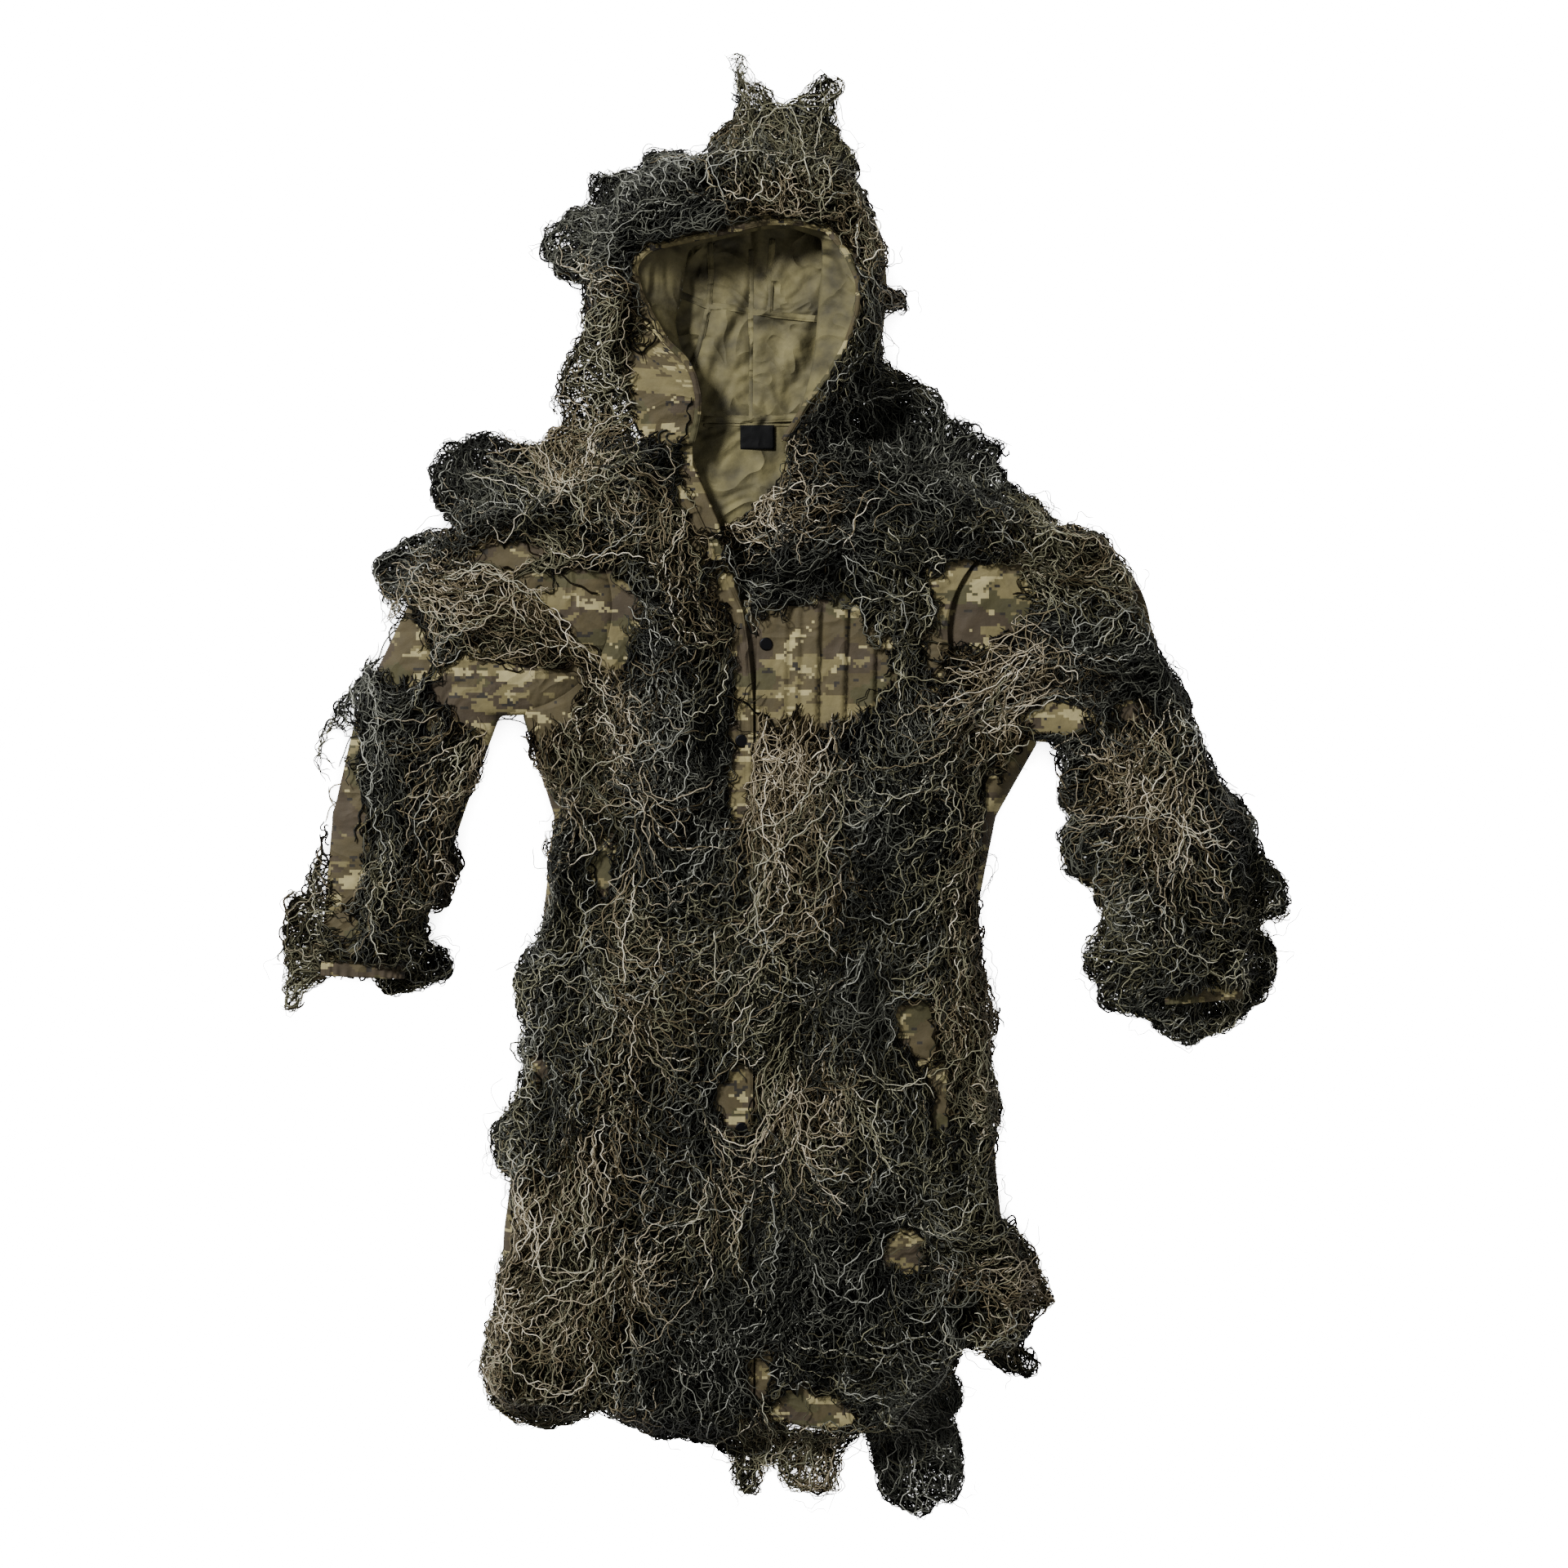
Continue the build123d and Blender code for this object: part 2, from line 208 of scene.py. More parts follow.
def camo_material():
    """Printed cloth: blocks of olive, brown and khaki on a square raster."""
    material = plain("camouflage_cloth", "4f4526", 0.86)
    tree = material.node_tree
    link = tree.links.new
    place = cloth_map(tree)
    snap = add(tree, "ShaderNodeVectorMath", operation="SNAP")
    snap.inputs[1].default_value = (RASTER, RASTER, 1.0)
    link(place, snap.inputs[0])

    def blotches(scale, stretch, detail, offset, low, rough=0.6):
        """White where a stretched noise on the raster is above low."""
        shift = add(tree, "ShaderNodeVectorMath", operation="MULTIPLY_ADD")
        shift.inputs[1].default_value = (scale / stretch, scale, 1.0)
        shift.inputs[2].default_value = (offset, offset * 1.7, offset * 0.3)
        link(snap.outputs[0], shift.inputs[0])
        ramp = add(tree, "ShaderNodeValToRGB")
        ramp.color_ramp.interpolation = "CONSTANT"
        for stop, position, value in zip(ramp.color_ramp.elements, (0.0, low), (0, 1)):
            stop.position = position
            stop.color = (value, value, value, 1)
        link(noise_on(tree, shift.outputs[0], Scale=1.0, Detail=detail, Roughness=rough), ramp.inputs[0])
        return ramp.outputs[0]

    def layer(under, code, mask):
        mix = tree.nodes.new("ShaderNodeMix")
        mix.data_type = "RGBA"
        mix.inputs["B"].default_value = (*linear(code), 1)
        if isinstance(under, str):
            mix.inputs["A"].default_value = (*linear(under), 1)
        else:
            link(under, mix.inputs["A"])
        link(mask, mix.inputs["Factor"])
        return mix.outputs["Result"]

    colour = layer("41381e", "352b19", blotches(11, 1.3, 2.0, 3.1, 0.52))
    colour = layer(colour, "3b371b", blotches(15, 1.5, 2.0, 9.4, 0.56))
    colour = layer(colour, "645b39", blotches(30, 2.2, 3.0, 21.7, 0.56, 0.62))
    colour = layer(colour, "90865d", blotches(36, 2.0, 3.0, 33.3, 0.585, 0.66))
    colour = layer(colour, "1d180e", blotches(80, 1.8, 2.0, 47.9, 0.66, 0.6))
    wear = mapped(tree, noise_on(tree, place, Scale=45.0, Detail=3.0), 0.62, 1.25)
    shade = add(tree, "ShaderNodeVectorMath", operation="SCALE")
    link(colour, shade.inputs[0])
    link(wear, shade.inputs["Scale"])
    link(shade.outputs[0], shader(material).inputs["Base Color"])
    add_weave(material)
    return material


def crease_bump(tree, place, depth):
    """Long soft creases: the ridges where a slow noise crosses its middle value."""
    slow = noise_on(tree, place, Scale=13.0, Detail=2.0, Distortion=0.9)
    centred = add(tree, "ShaderNodeMath", operation="SUBTRACT")
    centred.inputs[1].default_value = 0.5
    ridge = add(tree, "ShaderNodeMath", operation="ABSOLUTE")
    bump = add(tree, "ShaderNodeBump", invert=True, Strength=0.9, Distance=depth * 4)
    tree.links.new(slow, centred.inputs[0])
    tree.links.new(centred.outputs[0], ridge.inputs[0])
    tree.links.new(ridge.outputs[0], bump.inputs["Height"])
    return bump.outputs[0]


def add_weave(material, creases=0.004):
    """Plain weave, small crumples, creases of a depth in metres, and uneven roughness."""
    tree = material.node_tree
    link = tree.links.new
    place = cloth_map(tree)
    threads = add(tree, "ShaderNodeMath", operation="MULTIPLY")
    for side, direction in enumerate("XY"):
        wave = add(tree, "ShaderNodeTexWave", bands_direction=direction, Scale=330.0, Distortion=0.6)
        link(place, wave.inputs["Vector"])
        link(wave.outputs["Fac"], threads.inputs[side])
    crumple = noise_on(tree, place, Scale=70.0, Detail=5.0)
    broad = add(tree, "ShaderNodeBump", Strength=0.75, Distance=0.0022)
    link(crumple, broad.inputs["Height"])
    link(crease_bump(tree, place, creases), broad.inputs["Normal"])
    fine = add(tree, "ShaderNodeBump", Strength=0.35, Distance=0.00025)
    link(threads.outputs[0], fine.inputs["Height"])
    link(broad.outputs[0], fine.inputs["Normal"])
    link(fine.outputs[0], shader(material).inputs["Normal"])
    link(mapped(tree, crumple, 0.72, 0.95), shader(material).inputs["Roughness"])


def lining_material():
    """The pale olive back of the cloth, darker and paler in soft blotches."""
    material = plain("lining", "7b7249", 0.8)
    tree = material.node_tree
    ramp = add(tree, "ShaderNodeValToRGB")
    for stop, position, code in zip(ramp.color_ramp.elements, (0.34, 0.68), ("332f1c", "67603d")):
        stop.position = position
        stop.color = (*linear(code), 1)
    tree.links.new(noise_on(tree, cloth_map(tree), Scale=24.0, Detail=4.0), ramp.inputs[0])
    tree.links.new(ramp.outputs[0], shader(material).inputs["Base Color"])
    add_weave(material, creases=0.011)
    return material


def woven_material(name, code):
    """A plain dyed weave."""
    material = plain(name, code, 0.85, Specular_IOR_Level=0.15)
    add_weave(material)
    return material


def dress_snaps():
    """Dark oxidised metal, a little worn, on the snaps as the CAD has them."""
    metal = plain("snap_metal_dark", "17171a", 0.35, Metallic=0.9)
    tree = metal.node_tree
    spots = add(tree, "ShaderNodeTexNoise", Scale=260.0)
    tree.links.new(mapped(tree, spots.outputs[0], 0.25, 0.55), shader(metal).inputs["Roughness"])
    for name in ("snap_caps", "snap_sockets", "snap_studs", "snap_posts", "top_snap_cap"):
        for slot in frame["nodes"][name].material_slots:
            slot.material = metal


CAMO = camo_material()
LINING = lining_material()
LABEL = woven_material("label", "060607")
ELASTIC = woven_material("elastic", "3c3a2c")


# ---------------------------------------------------------------- outlines, in millimetres

PIVOT = {"right": (-338.0, 217.0), "left": (330.0, 186.0)}
ARMHOLE_R = {"right": 136.0, "left": 138.0}
FOLD = {"right": ((-118.0, 392.0), (-262.0, -762.0)), "left": ((16.0, 392.0), (196.0, -792.0))}
NECK_Y = 447.0
COAT = [
    (-120, 447), (-305, 349), (-322, 82), (-284, -40), (-296, -150), (-346, -560), (-354, -742),
    (-200, -772), (-38, -784), (90, -798), (126, -786), (205, -700), (240, -688), (300, -672),
    (270, -560), (240, -150), (262, -40), (312, 49), (300, 321), (30, 447),
]
SLEEVES = {
    "right": [
        (-300, 345), (-400, 340), (-470, 236), (-505, 160), (-535, 90), (-560, -40), (-575, -240), (-463, -240),
        (-428, -140), (-392, -30), (-350, 79), (-300, 90),
    ],
    "left": [
        (300, 316), (385, 290), (452, 200), (476, 120), (526, 20), (558, -80), (568, -270), (462, -275),
        (430, -160), (390, -50), (344, 46), (300, 60),
    ],
}
HOOD = [
    (-196, 430), (-214, 560), (-206, 680), (-130, 742), (-42, 762), (58, 748), (112, 680), (122, 560), (104, 430),
]
RIM = [
    (-113, 418, 44), (-106, 446, 50), (-104, 471, 56), (-110, 499, 60), (-121, 519, 63), (-144, 540, 66),
    (-160, 568, 69), (-174, 595, 71), (-183, 627, 72), (-176, 641, 72), (-163, 653, 71), (-112, 665, 68),
    (-71, 674, 66), (-25, 685, 66), (10, 686, 67), (53, 676, 69), (76, 648, 71), (92, 611, 72), (90, 575, 71),
    (76, 535, 68), (53, 496, 63), (30, 467, 57), (16, 446, 51), (0, 421, 44),
]


# ---------------------------------------------------------------- room for the cloth and the yarn, on a grid

# Outlines of the tufts as they lie.
HOOD_TUFTS = [
    (150, 505), (122, 520), (116, 560), (120, 580), (150, 584), (150, 602), (120, 612), (126, 640), (116, 670),
    (100, 725), (86, 745), (92, 770), (76, 790), (62, 820), (72, 868), (50, 878), (30, 862), (0, 842), (-20, 858),
    (-38, 872), (-44, 905), (-70, 904), (-64, 860), (-60, 822), (-90, 802), (-96, 772), (-130, 782), (-172, 786),
    (-184, 760), (-242, 756), (-238, 720), (-262, 710), (-296, 690), (-302, 660), (-286, 638), (-250, 614),
    (-244, 594), (-252, 565), (-274, 520), (-284, 470), (-272, 430), (-200, 380), (60, 380), (150, 430),
]
BODY_TUFTS = [
    (100, 520), (150, 505), (190, 485), (206, 458), (236, 440), (282, 416), (268, 398), (278, 370), (300, 358),
    (330, 330), (330, 56), (300, 52), (280, 35), (270, 0), (254, -30), (246, -60), (240, -110), (240, -170),
    (246, -220), (256, -250), (266, -280), (256, -340), (266, -400), (256, -460), (262, -520), (282, -540),
    (304, -570), (322, -610), (336, -640), (304, -665), (292, -690), (316, -716), (304, -736), (280, -730),
    (240, -696), (220, -692), (206, -720), (220, -750), (211, -790), (221, -830), (215, -886), (190, -886),
    (170, -906), (140, -892), (121, -880), (112, -840), (102, -798), (88, -800), (68, -830), (70, -872),
    (30, -880), (5, -870), (-15, -842), (-28, -862), (-36, -880), (-52, -876), (-68, -855), (-72, -830),
    (-84, -816), (-160, -806), (-196, -786), (-225, -764), (-242, -772), (-262, -790), (-296, -797), (-336, -786),
    (-362, -765), (-374, -730), (-370, -680), (-357, -640), (-353, -600), (-338, -570), (-329, -540), (-338, -490),
    (-356, -470), (-362, -435), (-348, -408), (-322, -350), (-332, -330), (-323, -300), (-333, -265), (-332, -230),
    (-311, -190), (-293, -160), (-288, -130), (-292, -80), (-272, -25), (-292, 0), (-310, 30), (-326, 75),
    (-335, 95), (-335, 400), (-280, 440), (-120, 470),
]
RIGHT_TUFTS = [
    (-250, 430), (-320, 422), (-360, 436), (-416, 422), (-437, 390), (-432, 350), (-406, 316), (-440, 312),
    (-466, 302), (-506, 272), (-501, 240), (-490, 220), (-495, 190), (-505, 160), (-520, 145), (-546, 110),
    (-576, 60), (-581, 20), (-566, 0), (-571, -40), (-586, -100), (-592, -130), (-616, -140), (-621, -180),
    (-621, -280), (-605, -282), (-585, -252), (-565, -236), (-510, -240), (-490, -261), (-470, -256), (-414, -240),
    (-409, -206), (-436, -190), (-440, -160), (-414, -148), (-399, -100), (-405, -50), (-380, 0), (-369, 30),
    (-369, 70), (-355, 80), (-325, 76), (-200, 90), (-190, 420),
]
LEFT_TUFTS = [
    (240, 400), (300, 358), (315, 350), (340, 320), (396, 312), (411, 280), (426, 260), (431, 230), (450, 190),
    (466, 160), (481, 140), (501, 100), (506, 70), (521, 40), (541, 0), (561, -15), (581, -50), (591, -80),
    (611, -110), (627, -140), (620, -166), (596, -166), (591, -180), (606, -200), (611, -230), (601, -250),
    (586, -270), (560, -296), (530, -311), (500, -322), (470, -306), (450, -291), (425, -286), (394, -276),
    (389, -250), (369, -230), (374, -200), (394, -170), (390, -150), (380, -130), (350, -110), (344, -90),
    (340, -60), (350, -40), (339, -20), (339, 20), (325, 54), (200, 60), (190, 400),
]
NECK_GAP = [
    (-118, 430), (-126, 384), (-112, 350), (-98, 328), (-84, 314), (-66, 318), (-44, 336), (-26, 352), (-8, 366),
    (2, 390), (4, 430),
]

CELL = 4.0
GRID_LOW = (-760.0, -1000.0)
GRID_SIZE = (380, 500)
# The top of the highest thread, and how fast the yarn's ground falls off from one cell to the next.
HIGHEST = 87.5
STEEPEST = 5.0


def value_noise(x, y, seed):
    """Smooth values from -1 to 1, one free value for each unit of x and y."""
    ix, iy = np.floor(x), np.floor(y)
    fx, fy = x - ix, y - iy
    fx, fy = fx * fx * (3 - 2 * fx), fy * fy * (3 - 2 * fy)

    def corner(a, b):
        h = np.sin(a * 127.1 + b * 311.7 + seed * 74.7) * 43758.5453
        return 2 * (h - np.floor(h)) - 1

    near = corner(ix, iy) * (1 - fx) + corner(ix + 1, iy) * fx
    far = corner(ix, iy + 1) * (1 - fx) + corner(ix + 1, iy + 1) * fx
    return near * (1 - fy) + far * fy


def inside(outline, x, y):
    """Whether each point lies inside a closed outline."""
    hit = np.zeros(x.shape, bool)
    for (ax, ay), (bx, by) in zip(outline, outline[1:] + outline[:1]):
        crosses = (ay > y) != (by > y)
        hit ^= crosses & (x < (bx - ax) * (y - ay) / ((by - ay) or 1e-9) + ax)
    return hit


def depth(outline, x, y):
    """How far each point lies inside a closed outline; negative outside."""
    best = np.full(x.shape, 1e9)
    for (ax, ay), (bx, by) in zip(outline, outline[1:] + outline[:1]):
        ux, uy = bx - ax, by - ay
        t = np.clip(((x - ax) * ux + (y - ay) * uy) / (ux * ux + uy * uy + 1e-9), 0, 1)
        best = np.minimum(best, np.hypot(x - ax - t * ux, y - ay - t * uy))
    return np.where(inside(outline, x, y), best, -best)


def blur(field, times):
    for _ in range(times):
        for axis in (0, 1):
            field = (np.roll(field, 1, axis) + field + np.roll(field, -1, axis)) / 3
    return field


def make_fields():
    """For each point of a grid: how far it lies inside the cloth, inside the tufts and outside the opening
    ("hard"), outside the nearest bare cloth and inside the neck opening."""
    x = GRID_LOW[0] + CELL * np.arange(GRID_SIZE[0])
    y = GRID_LOW[1] + CELL * np.arange(GRID_SIZE[1])
    x, y = np.meshgrid(x, y, indexing="ij")
    on_cloth = np.max([depth(o, x, y) for o in (COAT, *SLEEVES.values(), HOOD)], axis=0)
    tufts = np.max([depth(o, x, y) for o in (HOOD_TUFTS, BODY_TUFTS, RIGHT_TUFTS, LEFT_TUFTS)], axis=0)
    rim = [(px, py) for px, py, _ in RIM]
    opening = np.maximum(depth(rim, x, y) + 5, depth(NECK_GAP, x, y))
    bare = np.full(x.shape, 1e9)
    ragged = 0.22 * value_noise(x / 22, y / 22, 61) + 0.16 * value_noise(x / 9, y / 9, 67)
    for bx, by, rx, ry in BARE:
        reach = (np.abs((x - bx) / rx) ** 2.6 + np.abs((y - by) / ry) ** 2.6) ** (1 / 2.6)
        bare = np.minimum(bare, (reach - 1 + ragged) * min(rx, ry))
    hard = np.minimum(tufts + 3 * value_noise(x / 14, y / 14, 41), -opening)
    return {"cloth": on_cloth, "hard": hard, "bare": np.minimum(bare, 200), "opening": opening}


def drape(pieces):
    """Adds the top of the cloth, falling off at its edges, and the room for yarn above it."""
    top = np.zeros(GRID_SIZE)
    for piece in pieces:
        spots = np.zeros(len(piece.data.vertices) * 3, np.float32)
        piece.data.vertices.foreach_get("co", spots)
        spots = spots.reshape(-1, 3) / MM
        column = np.rint((spots[:, 0] - GRID_LOW[0]) / CELL).astype(int)
        row = np.rint((spots[:, 1] - GRID_LOW[1]) / CELL).astype(int)
        np.maximum.at(top, (column, row), spots[:, 2])
    for _ in range(16):
        for axis in (0, 1):
            for shift in (-1, 1):
                top = np.maximum(top, np.roll(top, shift, axis) - STEEPEST)
    low = blur(np.clip(top / FACE_Z, 0, 1), 3)
    FIELDS["height"] = blur(top, 1)
    # Yarn lies flatter beside the cloth that shows, so that light reaches it.
    beside = blur(np.clip(FIELDS["bare"] / 34, 0.3, 1), 2)
    FIELDS["pile"] = np.minimum((9 + 18 * low) * beside, 87 - FIELDS["height"])


def sample(name, x, y):
    """A field's value at points in millimetres."""
    field = FIELDS[name]
    gx = np.clip((x - GRID_LOW[0]) / CELL, 0, GRID_SIZE[0] - 1.001)
    gy = np.clip((y - GRID_LOW[1]) / CELL, 0, GRID_SIZE[1] - 1.001)
    ix, iy = gx.astype(int), gy.astype(int)
    fx, fy = gx - ix, gy - iy
    near = field[ix, iy] * (1 - fx) + field[ix + 1, iy] * fx
    far = field[ix, iy + 1] * (1 - fx) + field[ix + 1, iy + 1] * fx
    return near * (1 - fy) + far * fy


def uphill(name, x, y):
    """The direction in which a field grows fastest, as a unit vector."""
    gx = sample(name, x + 5, y) - sample(name, x - 5, y)
    gy = sample(name, x, y + 5) - sample(name, x, y - 5)
    size = np.hypot(gx, gy) + 1e-9
    return gx / size, gy / size


def steer(name, x, y, heading):
    """How hard, and to which side, a heading has to turn to lead back uphill."""
    gx, gy = uphill(name, x, y)
    toward = np.cos(heading) * gx + np.sin(heading) * gy
    side = np.sign(np.cos(heading) * gy - np.sin(heading) * gx)
    return side * np.clip(0.45 - toward, 0, 1.45)


# ---------------------------------------------------------------- yarn

# Each patch of yarn: middle, half size, the way its ends lie in degrees (0 to +X, 90 to the hood), its
# mix of colours, thread length and density.
PATCHES = [
    # hood
    (-57, 812, 12, 62, 92, "bo", 120, 1.2),
    (22, 815, 42, 52, 75, "oko", 110, 1.0),
    (-12, 745, 48, 34, -60, "bo", 100, 1.0),
    (66, 712, 32, 42, -75, "ob", 100, 1.0),
    (-108, 722, 58, 44, 150, "k", 120, 1.0),
    (-212, 682, 56, 44, 188, "kk", 130, 0.8),
    (-196, 588, 48, 34, 196, "bo", 110, 0.9),
    (-243, 505, 32, 46, -100, "oo", 110, 0.35),
    (112, 655, 18, 58, -82, "ob", 110, 0.9),
    (128, 598, 14, 10, 5, "b", 70, 1.0),
    (108, 540, 16, 44, -90, "ko", 110, 1.0),
    # wearer's right shoulder and chest
    (-372, 385, 58, 42, 150, "k", 130, 0.9),
    (-345, 338, 50, 34, 200, "kb", 120, 1.0),
    (-268, 398, 48, 42, 190, "ob", 120, 1.0),
    (-172, 410, 38, 32, 195, "k", 110, 1.0),
    (-232, 322, 82, 36, -30, "kob", 120, 1.0),
    (-450, 268, 50, 36, 178, "k", 120, 0.9),
    (-358, 222, 82, 40, -28, "ob", 130, 1.0),
    (-408, 148, 22, 20, -95, "k", 90, 1.0),
    (-242, 130, 44, 52, -80, "ob", 120, 1.0),
    (-182, 262, 38, 52, -75, "ok", 120, 1.0),
    (-118, 268, 32, 56, -75, "bo", 120, 1.0),
    (-160, 172, 36, 52, -80, "k", 120, 1.0),
    (-98, 168, 26, 42, -80, "bo", 110, 1.0),
    (-112, 86, 42, 54, -85, "k", 130, 1.0),
    (-130, -4, 48, 70, -90, "k", 140, 1.1),
    (-218, 48, 52, 56, -85, "bo", 120, 1.0),
    (-186, -40, 40, 48, -90, "bok", 120, 1.0),
    (-255, -112, 32, 46, -95, "k", 110, 1.0),
    (-148, -96, 52, 52, -95, "k", 120, 1.0),
    # wearer's right skirt
    (-258, -222, 50, 52, -95, "ko", 130, 1.0),
    (-180, -215, 36, 52, -90, "ob", 120, 1.0),
    (-108, -190, 38, 62, -90, "ko", 130, 1.0),
    (-168, -330, 42, 38, -85, "bo", 120, 1.0),
    (-268, -335, 42, 52, -95, "ko", 120, 1.0),
    (-108, -345, 28, 56, -90, "k", 120, 1.0),
    (-300, -435, 44, 52, -100, "ok", 130, 1.0),
    (-218, -435, 46, 46, -90, "ob", 120, 1.0),
    (-155, -520, 54, 72, -90, "k", 130, 1.0),
    (-80, -560, 30, 54, -88, "bo", 120, 1.0),
    (-288, -555, 54, 62, -95, "ob", 130, 1.0),
    (-212, -610, 34, 62, -90, "ob", 130, 0.9),
    (-308, -705, 58, 66, -100, "ob", 120, 1.1),
    (-218, -700, 32, 66, -90, "bo", 120, 1.0),
    (-132, -715, 60, 76, -92, "k", 130, 1.1),
    (-62, -835, 16, 34, -92, "ko", 90, 1.0),
    # wearer's left shoulder and chest
    (12, 342, 48, 32, 178, "b", 110, 1.0),
    (48, 275, 54, 34, -150, "k", 120, 1.0),
    (112, 402, 58, 52, -60, "k", 130, 1.1),
    (196, 372, 66, 50, -25, "k", 130, 1.1),
    (150, 300, 80, 44, -40, "k", 130, 1.1),
    (148, 206, 36, 56, -85, "ko", 120, 1.0),
    (252, 418, 34, 22, 10, "k", 110, 0.3),
    (318, 302, 58, 34, -28, "ob", 120, 1.0),
    (385, 322, 34, 24, -20, "bo", 100, 0.9),
    (384, 240, 46, 40, -35, "bo", 120, 1.0),
    (322, 172, 46, 34, -30, "k", 120, 1.0),
    (262, 108, 56, 42, -140, "b", 130, 1.0),
    (176, 108, 38, 56, -85, "ok", 120, 1.0),
    (232, 30, 44, 46, -120, "bo", 120, 1.0),
    (2, 2, 50, 70, -90, "b", 150, 1.2),
    (28, -110, 46, 62, -90, "bo", 150, 1.1),
    (-12, -180, 40, 46, -92, "bo", 130, 0.9),
    (98, 10, 40, 62, -88, "k", 140, 1.1),
    (102, -128, 40, 86, -90, "k", 140, 1.1),
    (178, -68, 42, 62, -95, "ok", 130, 1.0),
    (222, -165, 26, 54, -95, "ob", 120, 1.0),
    (160, -185, 30, 50, -92, "ok", 120, 1.0),
    # wearer's left skirt
    (0, -270, 66, 52, -92, "ok", 140, 1.1),
    (92, -258, 36, 54, -90, "k", 130, 1.0),
    (38, -405, 64, 54, -92, "bo", 140, 1.0),
    (132, -402, 42, 52, -92, "ok", 130, 1.0),
    (236, -268, 26, 38, -92, "bo", 120, 1.0),
    (228, -372, 34, 54, -92, "ob", 130, 1.0),
    (22, -575, 68, 74, -92, "k", 150, 1.2),
    (0, -500, 50, 34, -92, "ok", 130, 1.0),
    (112, -482, 42, 30, -92, "ok", 120, 1.0),
    (222, -505, 42, 54, -90, "ok", 130, 1.0),
    (268, -618, 42, 50, -35, "bo", 110, 0.8),
    (96, -690, 66, 54, -92, "k", 140, 1.1),
    (186, -640, 44, 50, -85, "ok", 120, 1.0),
    (166, -780, 42, 66, -90, "k", 150, 1.0),
    (118, -800, 22, 60, -90, "ko", 150, 0.9),
    (285, -690, 18, 30, -60, "ko", 80, 1.0),
    (10, -815, 62, 26, -90, "bo", 100, 0.9),
    # wearer's right sleeve
    (-492, 62, 42, 44, -95, "k", 120, 1.0),
    (-452, 2, 50, 42, -80, "k", 130, 1.1),
    (-400, 0, 24, 52, -88, "bo", 110, 1.0),
    (-482, -95, 38, 42, -88, "ok", 120, 1.0),
    (-432, -82, 28, 46, -88, "ob", 110, 1.0),
    (-590, -190, 22, 58, -100, "ob", 110, 0.7),
    (-462, -205, 42, 40, -88, "ok", 90, 1.0),
    # wearer's left sleeve
    (436, 128, 46, 34, -30, "k", 130, 1.0),
    (368, 12, 30, 50, -80, "k", 120, 1.0),
    (370, -72, 28, 48, -85, "k", 120, 1.0),
    (438, -42, 52, 62, -88, "bo", 150, 1.1),
    (535, -42, 42, 68, -80, "k", 140, 1.0),
    (572, -142, 36, 46, -95, "ok", 120, 1.0),
    (462, -205, 70, 50, -95, "ko", 130, 1.0),
    (525, -262, 46, 34, -100, "ok", 90, 0.9),
]
# Cloth that shows between the tufts: middle and half size.
BARE = [
    (-148, 482, 42, 60), (-348, 280, 50, 24), (-230, 218, 50, 50), (-345, 108, 92, 44), (-470, 168, 36, 52),
    (-541, -70, 27, 150), (-222, -110, 15, 60), (42, 150, 84, 74), (238, 222, 62, 58), (180, 160, 16, 34),
    (335, 80, 50, 24), (428, 92, 28, 16), (160, -300, 29, 42), (192, -392, 18, 56), (150, -570, 29, 34),
    (-126, 352, 16, 24), (-106, 322, 16, 26), (-86, 286, 17, 30), (-70, 248, 18, 32), (-58, 212, 19, 32),
    (-52, 170, 20, 36), (-48, 128, 20, 36), (-46, 80, 19, 36), (-53, 30, 19, 34), (-55, -20, 16, 44),
    (-48, -110, 11, 60), (-56, -380, 31, 46), (-48, -560, 10, 50),
    (30, -766, 66, 30), (-28, -732, 20, 44), (256, -20, 16, 64), (-300, -352, 16, 30), (-50, 54, 22, 26),
    (-302, 250, 34, 17), (-262, 232, 36, 24), (-376, 128, 58, 34), (-206, 166, 22, 36),
]
FIELDS = make_fields()
# Points of a thread, threads in a piece, and the line where the fronts meet.
POINTS = 20
LARGEST_PIECE = 1650
MIDDLE = -38
KINDS = {
    # threads in a bundle, square millimetres for each bundle, radius of a thread, how high it lies in the pile,
    # spread of the roots, wandering of single threads, room that a root needs, how far threads may pass the
    # outline of the tufts, and the share of them that may cross bare cloth
    "under": (4, 400.0, 1.4, (0.0, 0.25), 10.0, 0.095, 6, 0.0, 0.012),
    "main": (12, 500.0, 0.77, (0.1, 0.98), 7.0, 0.095, 2, 0.0, 0.012),
    "stray": (1, 2000.0, 0.6, (0.88, 1.05), 9.0, 0.15, 2, 24.0, 0.2),
}


def smooth_noise(shape, pitch):
    """Random values that drift along the last axis, with about one free value every pitch steps."""
    knots = rng.normal(size=shape[:-1] + (int(shape[-1] / pitch) + 3,))
    at = np.arange(shape[-1]) / pitch
    low = at.astype(int)
    part = at - low
    part = part * part * (3 - 2 * part)
    return knots[..., low] * (1 - part) + knots[..., low + 1] * part


def scatter(low, high, pitch):
    """One random point in each cell of a grid."""
    gx, gy = np.meshgrid(np.arange(low[0], high[0], pitch), np.arange(low[1], high[1], pitch))
    x = (gx + rng.uniform(-0.5, 0.5, gx.shape) * pitch).ravel()
    y = (gy + rng.uniform(-0.5, 0.5, gy.shape) * pitch).ravel()
    return x, y


def nearest_patch(x, y):
    """The patch each point belongs to, and how far out in it the point lies, from 0 in its middle."""
    table = np.array([p[:4] for p in PATCHES])
    reach = ((x[:, None] - table[:, 0]) / table[:, 2]) ** 2 + ((y[:, None] - table[:, 1]) / table[:, 3]) ** 2
    reach = reach * rng.uniform(0.75, 1.3, reach.shape)
    best = reach.argmin(1)
    return best, reach[np.arange(len(x)), best]


